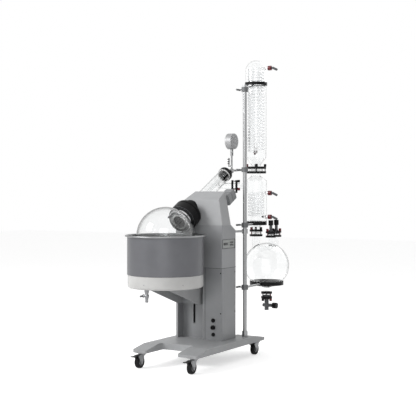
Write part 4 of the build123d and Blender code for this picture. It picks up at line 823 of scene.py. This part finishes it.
@dataclass
class DriveCollar:
    """Trim on the black collar and the flask clamp, placed up the axis from the flask's centre."""

    tilt: float = math.radians(28)
    steps: int = 72
    face_rings: tuple[tuple[float, float], ...] = ((0.0865, 0.2064), (0.076, 0.2066), (0.066, 0.2067))
    face_ring_thick: float = 0.0013
    stud_count: int = 12
    stud_ring_r: float = 0.081
    stud_at: float = 0.2062
    stud_size: Point = (0.006, 0.006, 0.003)
    stud_edge: float = 0.0012
    rib_r: float = 0.0901
    rib_thick: float = 0.0009
    rib_count: int = 4
    rib_first_at: float = 0.218
    rib_pitch: float = 0.01
    rim_r: float = 0.074
    rim_at: float = 0.1865
    rim_half: float = 0.0067
    rim_bevel: float = 0.001
    rim_flat_half: float = 0.0035
    rim_sink: float = 0.001
    rim_shoulder: float = 0.0012
    rim_proud: float = 0.0018
    rim_steps: int = 96
    plate_at: float = 0.1752
    plate_bore_r: float = 0.044
    plate_r: float = 0.0605
    plate_bevel: float = 0.001
    plate_bevel_height: float = 0.0006
    plate_thick: float = 0.0014
    hook_count: int = 3
    hook_turn: float = math.radians(30)
    hook_edge: float = 0.0014
    finger_size: Point = (0.004, 0.012, 0.026)
    finger_out: float = 0.001
    finger_at: float = 0.175
    toe_size: Point = (0.013, 0.012, 0.004)
    toe_in: float = 0.0035
    toe_at: float = 0.167
    seal_at: float = 0.175
    seal_bore_r: float = 0.0405
    seal_r: float = 0.053
    seal_bevel: float = 0.001
    seal_thick: float = 0.0007
    vapour_seal_r: float = 0.0432
    vapour_seal_thick: float = 0.0018
    vapour_seals_at: tuple[float, float] = (0.79, 0.7965)
    vapour_seal_steps: int = 56

    def axis(self) -> Vector:
        """Direction of the rotation axis."""
        return Vector((0, math.cos(self.tilt), math.sin(self.tilt)))

    def flask_centre(self) -> Vector:
        """Centre of the evaporating flask's ball.

        Returns:
            The centre, a ball's radius in from the low corner of the flask's box.
        """
        flask = Box.of("evaporating_flask")
        ball_r = flask.size.x / 2
        return flask.low + Vector((ball_r, ball_r, ball_r))

    def at(self, distance: float) -> Matrix:
        """Placement on the axis at a distance from the flask centre."""
        return aimed(self.flask_centre() + self.axis() * distance, self.axis())

    def collar(self) -> None:
        """Builds the rings and studs on the collar's face and the ribs round it."""
        rings = []
        for radius, distance in self.face_rings:
            rings.append(ring(radius, self.face_ring_thick, self.at(distance), FINE_SIDES, self.steps))
        put("collar_face_rings", joined(rings), GREY_PLASTIC, "root")
        studs = []
        for index in range(self.stud_count):
            turn = Matrix.Rotation(math.tau * index / self.stud_count, 4, "Z")
            place = self.at(self.stud_at) @ turn @ moved(self.stud_ring_r, 0, 0)
            studs.append(rounded_block(self.stud_size, place, self.stud_edge))
        put("collar_studs", joined(studs), DARK_CLAMP, "root")
        ribs = []
        for index in range(self.rib_count):
            distance = self.rib_first_at + index * self.rib_pitch
            ribs.append(ring(self.rib_r, self.rib_thick, self.at(distance), steps=self.steps))
        put("collar_ribs", joined(ribs), BLACK_SATIN, "root")

    def clamp(self) -> None:
        """Builds the clamp's bright rim and face plate."""
        half = [
            (self.rim_r - self.rim_sink, self.rim_half),
            (self.rim_r + self.rim_shoulder, self.rim_half - self.rim_bevel),
            (self.rim_r + self.rim_proud, self.rim_flat_half),
        ]
        rim = turned(mirrored(half), self.at(self.rim_at), self.rim_steps)
        put("clamp_ring_rim", rim, ALUMINIUM, "rotor")
        outline = [
            (self.plate_bore_r, 0.0),
            (self.plate_r - self.plate_bevel, 0.0),
            (self.plate_r, self.plate_bevel_height),
            (self.plate_r, self.plate_thick),
            (self.plate_bore_r, self.plate_thick),
        ]
        plate = turned(outline, self.at(self.plate_at), self.steps)
        put("clamp_face_plate", plate, STAINLESS, "rotor")

    def hooks(self) -> None:
        """Builds the hooks, each a finger over the rim with a toe that points inwards."""
        hooks = []
        for index in range(self.hook_count):
            turn = Matrix.Rotation(math.tau * index / self.hook_count + self.hook_turn, 4, "Z")
            finger = self.at(self.finger_at) @ turn @ moved(self.rim_r + self.finger_out, 0, 0)
            hooks.append(rounded_block(self.finger_size, finger, self.hook_edge))
            toe = self.at(self.toe_at) @ turn @ moved(self.rim_r - self.toe_in, 0, 0)
            hooks.append(rounded_block(self.toe_size, toe, self.hook_edge))
        put("clamp_hooks", joined(hooks), STAINLESS, "rotor")

    def seals(self) -> None:
        """Builds the white seals of the flask and of the vapour glass."""
        outline = [
            (self.seal_bore_r, 0.0),
            (self.seal_r - self.seal_bevel, 0.0),
            (self.seal_r, self.seal_thick),
            (self.seal_bore_r, self.seal_thick),
        ]
        put("flask_seal", turned(outline, self.at(self.seal_at)), SEAL_WHITE, "rotor")
        radius, thick = self.vapour_seal_r, self.vapour_seal_thick
        rings = []
        for distance in self.vapour_seals_at:
            rings.append(ring(radius, thick, self.at(distance), FINE_SIDES, self.vapour_seal_steps))
        put("vapour_seal_rings", joined(rings), SEAL_WHITE, "root")

    def build(self) -> None:
        """Builds every piece of trim on the collar and clamp."""
        self.collar()
        self.clamp()
        self.hooks()
        self.seals()


@dataclass(frozen=True)
class CoilPorts:
    """Where the ends of both coils leave the condensers."""

    coil_r: float = 0.054
    tube_r: float = 0.006
    rear_turn: float = math.radians(121)

    def axis(self) -> Vector:
        """Point on the condensers' axis, at height nought.

        Returns:
            The point.
        """
        coil = Box.of("lower_coil")
        return Vector((coil.low.x + self.coil_r, coil.middle.y, 0.0))

    def heights(self) -> tuple[float, float, float, float]:
        """Heights of the four ports, from the top down.

        Returns:
            Both ends of the upper coil, then both ends of the lower one.
        """
        upper = Box.of("upper_coil")
        lower = Box.of("lower_coil")
        return (
            upper.high.z - self.tube_r,
            upper.low.z + self.tube_r,
            lower.high.z - self.tube_r,
            lower.low.z + self.tube_r,
        )


@dataclass
class GlassTrim:
    """White seals between the glass flanges, and ribs on the red hose caps."""

    ports: CoilPorts = CoilPorts()
    upper_seal_r: float = 0.0475
    lower_seal_r: float = 0.0312
    seal_thick: float = 0.0012
    cap_r: float = 0.015
    cap_at: float = 0.096
    rib_thick: float = 0.0007
    rib_pitch: float = 0.006
    rib_count: int = 3
    rib_steps: int = 24

    def build(self) -> None:
        """Builds the seals and the cap ribs."""
        axis = self.ports.axis()
        seals = []
        for node, radius in (("upper_condenser", self.upper_seal_r), ("lower_condenser", self.lower_seal_r)):
            seals.append(ring(radius, self.seal_thick, moved(axis.x, axis.y, Box.of(node).low.z)))
        put("flange_seals", joined(seals), SEAL_WHITE, "root")
        top, _, middle, bottom = self.ports.heights()
        ribs = []
        for z in (top, middle, bottom):
            for index in range(self.rib_count):
                place = aimed((axis.x + self.cap_at + index * self.rib_pitch, axis.y, z), RIGHT)
                ribs.append(ring(self.cap_r, self.rib_thick, place, steps=self.rib_steps))
        put("cap_ribs", joined(ribs), RED_PLASTIC, "root")


@dataclass
class HoseEnds:
    """Drooping ribbed barbs in place of the straight ones, and the ribs of the gauge's side barb."""

    ports: CoilPorts = CoilPorts()
    start: float = 0.1143
    bend_at: float = 0.124
    bend_length: float = 0.008
    end: float = 0.1595
    radius: float = 0.0068
    bore: float = 0.004
    tip_in: float = 0.0008
    rib: float = 0.0016
    rib_rise: float = 0.0006
    rib_share: float = 0.9
    rib_count: int = 4
    droop: float = math.radians(24)
    barb_steps: int = 28
    side_rib_in: float = 0.005
    side_rib_r: float = 0.0056
    side_rib_thick: float = 0.0026
    side_rib_low: float = 0.066
    side_rib_pitch: float = 0.014
    side_rib_count: int = 3
    side_rib_steps: int = 24

    def outline(self) -> Outline:
        """Outline of a straight barb's section, from the cap to the tip.

        Returns:
            The closed outline.
        """
        step = (self.end - self.bend_at) / (self.rib_count + 0.5)
        points = [(self.bore, self.start), (self.radius, self.start), (self.radius, self.bend_at)]
        for index in range(self.rib_count):
            foot = self.bend_at + step * (index + 0.5)
            points.append((self.radius, foot))
            points.append((self.radius + self.rib, foot + self.rib_rise))
            points.append((self.radius, foot + step * self.rib_share))
        points += [(self.radius - self.tip_in, self.end), (self.bore, self.end), (self.bore, self.bend_at)]
        return points

    def barb(self, axis: Point, angle: float) -> Mesh:
        """A barb that leaves the condenser level and then droops.

        Args:
            axis: Point on the condenser's axis at the port's height.
            angle: The port's direction in plan.

        Returns:
            The barb's mesh.
        """
        mesh = turned(self.outline(), Matrix.Identity(4), self.barb_steps)
        pivot = Vector((0, 0, self.bend_at))
        for vert in mesh.verts:
            beyond = min(1.0, max(0.0, (vert.co.z - self.bend_at) / self.bend_length))
            vert.co = pivot + Matrix.Rotation(self.droop * beyond, 3, "Y") @ (vert.co - pivot)
        outward = Vector((math.cos(angle), math.sin(angle), 0))
        down = Vector((0, 0, -1))
        side = outward.cross(down)
        turn = Matrix((down, side, outward)).transposed().to_4x4()
        bmesh.ops.transform(mesh, matrix=Matrix.Translation(Vector(axis)) @ turn, verts=mesh.verts)
        return mesh

    def build(self) -> None:
        """Builds the four barbs and the dark ribs on the gauge's side barb."""
        axis = self.ports.axis()
        turns = (0.0, self.ports.rear_turn, 0.0, 0.0)
        barbs = []
        for z, turn in zip(self.ports.heights(), turns):
            barbs.append(self.barb((axis.x, axis.y, z), turn))
        bent = put("bent_barbs", joined(barbs), GREY_PLASTIC, "root")
        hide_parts("hose_barbs")
        stem = Box.of("gauge_stem")
        y = Box.of("gauge_case").middle.y
        ribs = []
        for index in range(self.side_rib_count):
            z = stem.low.z + self.side_rib_low + index * self.side_rib_pitch
            place = moved(stem.low.x + self.side_rib_in, y, z)
            ribs.append(ring(self.side_rib_r, self.side_rib_thick, place, FINE_SIDES, self.side_rib_steps))
        put("side_barb_ribs", joined(ribs), BLACK_PLASTIC, "root")


@dataclass
class GaugeFace:
    """White dial with ticks and a bright bezel on the vacuum gauge."""

    face_in: float = 0.007
    dial_bore_r: float = 0.0026
    dial_r: float = 0.0475
    dial_thick: float = 0.0004
    steps: int = 64
    tick_count: int = 28
    ticks_per_long: int = 4
    sweep: float = math.radians(270)
    tick_outer_r: float = 0.044
    tick_out: float = 0.0005
    long_tick: Point = (0.0008, 0.007, 0.0003)
    short_tick: Point = (0.0004, 0.004, 0.0003)
    tick_edge: float = 0.0001
    bezel_r: float = 0.0512
    bezel_thick: float = 0.0012

    def ticks(self, face: Matrix) -> Mesh:
        """Builds the ticks round the dial.

        Args:
            face: Placement of the dial, with local Z out of it.

        Returns:
            The mesh of all ticks.
        """
        marks = []
        for index in range(self.tick_count + 1):
            angle = self.sweep * (index / self.tick_count - 0.5)
            size = self.short_tick if index % self.ticks_per_long else self.long_tick
            from_middle = self.tick_outer_r - size[1] / 2
            spot = face @ Matrix.Rotation(angle, 4, "Z") @ moved(0, -from_middle, self.tick_out)
            marks.append(rounded_block(size, spot, self.tick_edge))
        return joined(marks)

    def build(self) -> None:
        """Builds the dial plate, ticks and bezel."""
        case = Box.of("gauge_case")
        face = aimed((case.low.x + self.face_in, case.middle.y, case.middle.z), LEFT)
        outline = [
            (self.dial_bore_r, 0.0),
            (self.dial_r, 0.0),
            (self.dial_r, self.dial_thick),
            (self.dial_bore_r, self.dial_thick),
        ]
        put("gauge_dial", turned(outline, face, self.steps), DIAL_WHITE, "root")
        put("gauge_ticks", self.ticks(face), BLACK_PLASTIC, "root")
        place = aimed((case.low.x + self.bezel_thick, case.middle.y, case.middle.z), LEFT)
        bezel = ring(self.bezel_r, self.bezel_thick, place, FINE_SIDES, self.steps)
        put("gauge_bezel", bezel, STAINLESS, "root")


@dataclass
class BathTrim:
    """Seam bead between the bath's body and skirt, and the screws round the skirt."""

    screw: Screw = Screw(radius=0.003)
    bead: float = 0.0012
    bead_out: float = 0.0005
    bead_steps: int = 96
    screw_count: int = 6
    screw_rise: float = 0.03

    def build(self) -> None:
        """Builds the bead and the screws."""
        skirt = Box.of("bath_skirt")
        radius = skirt.size.x / 2
        place = moved(skirt.middle.x, skirt.middle.y, skirt.high.z)
        bead = ring(radius + self.bead_out, self.bead, place, steps=self.bead_steps)
        put("bath_seam_bead", bead, SEAM_DARK, "lift")
        screws = []
        for index in range(self.screw_count):
            angle = math.tau * (index + 0.5) / self.screw_count
            outward = Vector((math.cos(angle), math.sin(angle), 0))
            centre = Vector((skirt.middle.x, skirt.middle.y, skirt.low.z + self.screw_rise))
            screws.append(self.screw.on(centre + outward * radius, outward))
        put("skirt_screws", joined(screws), ZINC, "lift")


@dataclass(frozen=True)
class Lamp:
    """A soft square lamp: its name, place, side in metres and power in watts."""

    name: str
    spot: Point
    size: float
    power: float

    def hang(self, target: Point) -> None:
        """Hangs the lamp.

        Args:
            target: The point that it is aimed at.
        """
        data = bpy.data.lights.new(self.name, "AREA")
        data.size = self.size
        data.energy = self.power
        lamp = bpy.data.objects.new(self.name, data)
        spot = Vector(self.spot)
        turn = (Vector(target) - spot).to_track_quat("-Z", "Y").to_matrix().to_4x4()
        lamp.matrix_world = Matrix.Translation(spot) @ turn
        bpy.context.scene.collection.objects.link(lamp)


@dataclass
class Studio:
    """Pale floor and backdrop, plain soft lamps and the camera of the photograph."""

    camera_at: Point = (3.089, -5.1465, 1.061)
    camera_turn: float = math.radians(31.0)
    upright: float = math.radians(90)
    lens: float = 82.04
    sensor_width: float = 36.0
    shift_pixels: float = -18
    world_level: float = 0.52
    floor_size: float = 14.0
    floor_grey: float = 0.86
    floor_roughness: float = 0.95
    floor_specular: float = 0.1
    floor_lift: float = 0.5
    lamp_target: Point = (0, 0, 0.9)
    lamps: tuple[Lamp, ...] = (
        Lamp("key_lamp", (-2.6, -3.2, 3.0), 1.8, 150),
        Lamp("fill_lamp", (1.8, -4.2, 2.2), 2.4, 42),
        Lamp("back_lamp", (0.6, 3.2, 3.0), 2.0, 24),
    )

    def seen(self, tree: Tree) -> Socket:
        """Socket that is one for camera, glossy and transmission rays.

        Args:
            tree: The node tree.

        Returns:
            The output socket.
        """
        rays = tree.nodes.new("ShaderNodeLightPath")
        value = rays.outputs["Is Camera Ray"]
        for kind in ("Is Glossy Ray", "Is Transmission Ray"):
            either = tree.nodes.new("ShaderNodeMath")
            either.operation = "MAXIMUM"
            tree.links.new(value, either.inputs[0])
            tree.links.new(rays.outputs[kind], either.inputs[1])
            value = either.outputs[0]
        return value

    def world(self) -> None:
        """Sets an even world that camera, glossy and transmission rays see as white."""
        world = bpy.data.worlds.new("studio")
        bpy.context.scene.world = world
        world.use_nodes = True
        tree = world.node_tree
        even = tree.nodes["Background"]
        even.inputs["Color"].default_value = (1, 1, 1, 1)
        even.inputs["Strength"].default_value = self.world_level
        white = tree.nodes.new("ShaderNodeBackground")
        white.inputs["Color"].default_value = (1, 1, 1, 1)
        white.inputs["Strength"].default_value = 1.0
        mix = tree.nodes.new("ShaderNodeMixShader")
        tree.links.new(self.seen(tree), mix.inputs["Fac"])
        tree.links.new(even.outputs[0], mix.inputs[1])
        tree.links.new(white.outputs[0], mix.inputs[2])
        tree.links.new(mix.outputs[0], tree.nodes["World Output"].inputs["Surface"])

    def floor_paint(self) -> bpy.types.Material:
        """Pale floor that keeps its shadow and is lifted where rays see it.

        Returns:
            The floor's material.
        """
        material = bpy.data.materials.new("floor_pale")
        material.use_nodes = True
        nodes, links = material.node_tree.nodes, material.node_tree.links
        shader = nodes["Principled BSDF"]
        shader.inputs["Base Color"].default_value = (self.floor_grey, self.floor_grey, self.floor_grey, 1)
        shader.inputs["Roughness"].default_value = self.floor_roughness
        shader.inputs["Specular IOR Level"].default_value = self.floor_specular
        level = nodes.new("ShaderNodeMath")
        level.operation = "MULTIPLY"
        level.inputs[1].default_value = self.floor_lift
        glow = nodes.new("ShaderNodeEmission")
        both = nodes.new("ShaderNodeAddShader")
        links.new(self.seen(material.node_tree), level.inputs[0])
        links.new(level.outputs[0], glow.inputs["Strength"])
        links.new(shader.outputs[0], both.inputs[0])
        links.new(glow.outputs[0], both.inputs[1])
        links.new(both.outputs[0], nodes["Material Output"].inputs["Surface"])
        return material

    def floor(self) -> None:
        """Lays the pale floor."""
        mesh = bmesh.new()
        bmesh.ops.create_grid(mesh, x_segments=1, y_segments=1, size=self.floor_size)
        data = bpy.data.meshes.new("floor")
        mesh.to_mesh(data)
        mesh.free()
        data.materials.append(self.floor_paint())
        floor = bpy.data.objects.new("floor", data)
        bpy.context.scene.collection.objects.link(floor)

    def camera(self) -> None:
        """Sets the camera that matches the photograph."""
        data = bpy.data.cameras.new("camera")
        data.lens = self.lens
        data.sensor_width = self.sensor_width
        data.shift_y = self.shift_pixels / PHOTO_SIDE
        camera = bpy.data.objects.new("camera", data)
        camera.location = self.camera_at
        camera.rotation_euler = (self.upright, 0, self.camera_turn)
        bpy.context.scene.collection.objects.link(camera)
        bpy.context.scene.camera = camera

    def build(self) -> None:
        """Sets up the whole studio."""
        bpy.context.scene.view_settings.view_transform = "Standard"
        self.world()
        self.floor()
        for lamp in self.lamps:
            lamp.hang(self.lamp_target)
        self.camera()


def dress_nodes() -> None:
    """Gives every carried-over solid its finish."""
    for name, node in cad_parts.items():
        node.data.materials.clear()
        node.data.materials.append(NODE_FINISHES[name].make())
        LOG.info("%s wears %s", name, NODE_FINISHES[name].name)


def main() -> None:
    """Builds every sub-assembly in order."""
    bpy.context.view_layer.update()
    dress_nodes()
    parts = (
        Casters(), Panels(), ControlPanel(), DriveCollar(), GlassTrim(), HoseEnds(), GaugeFace(),
        BathTrim(), Studio(),
    )
    for part in parts:
        part.build()
        LOG.info("built %s", type(part).__name__)


if __name__ == "__main__":
    main()
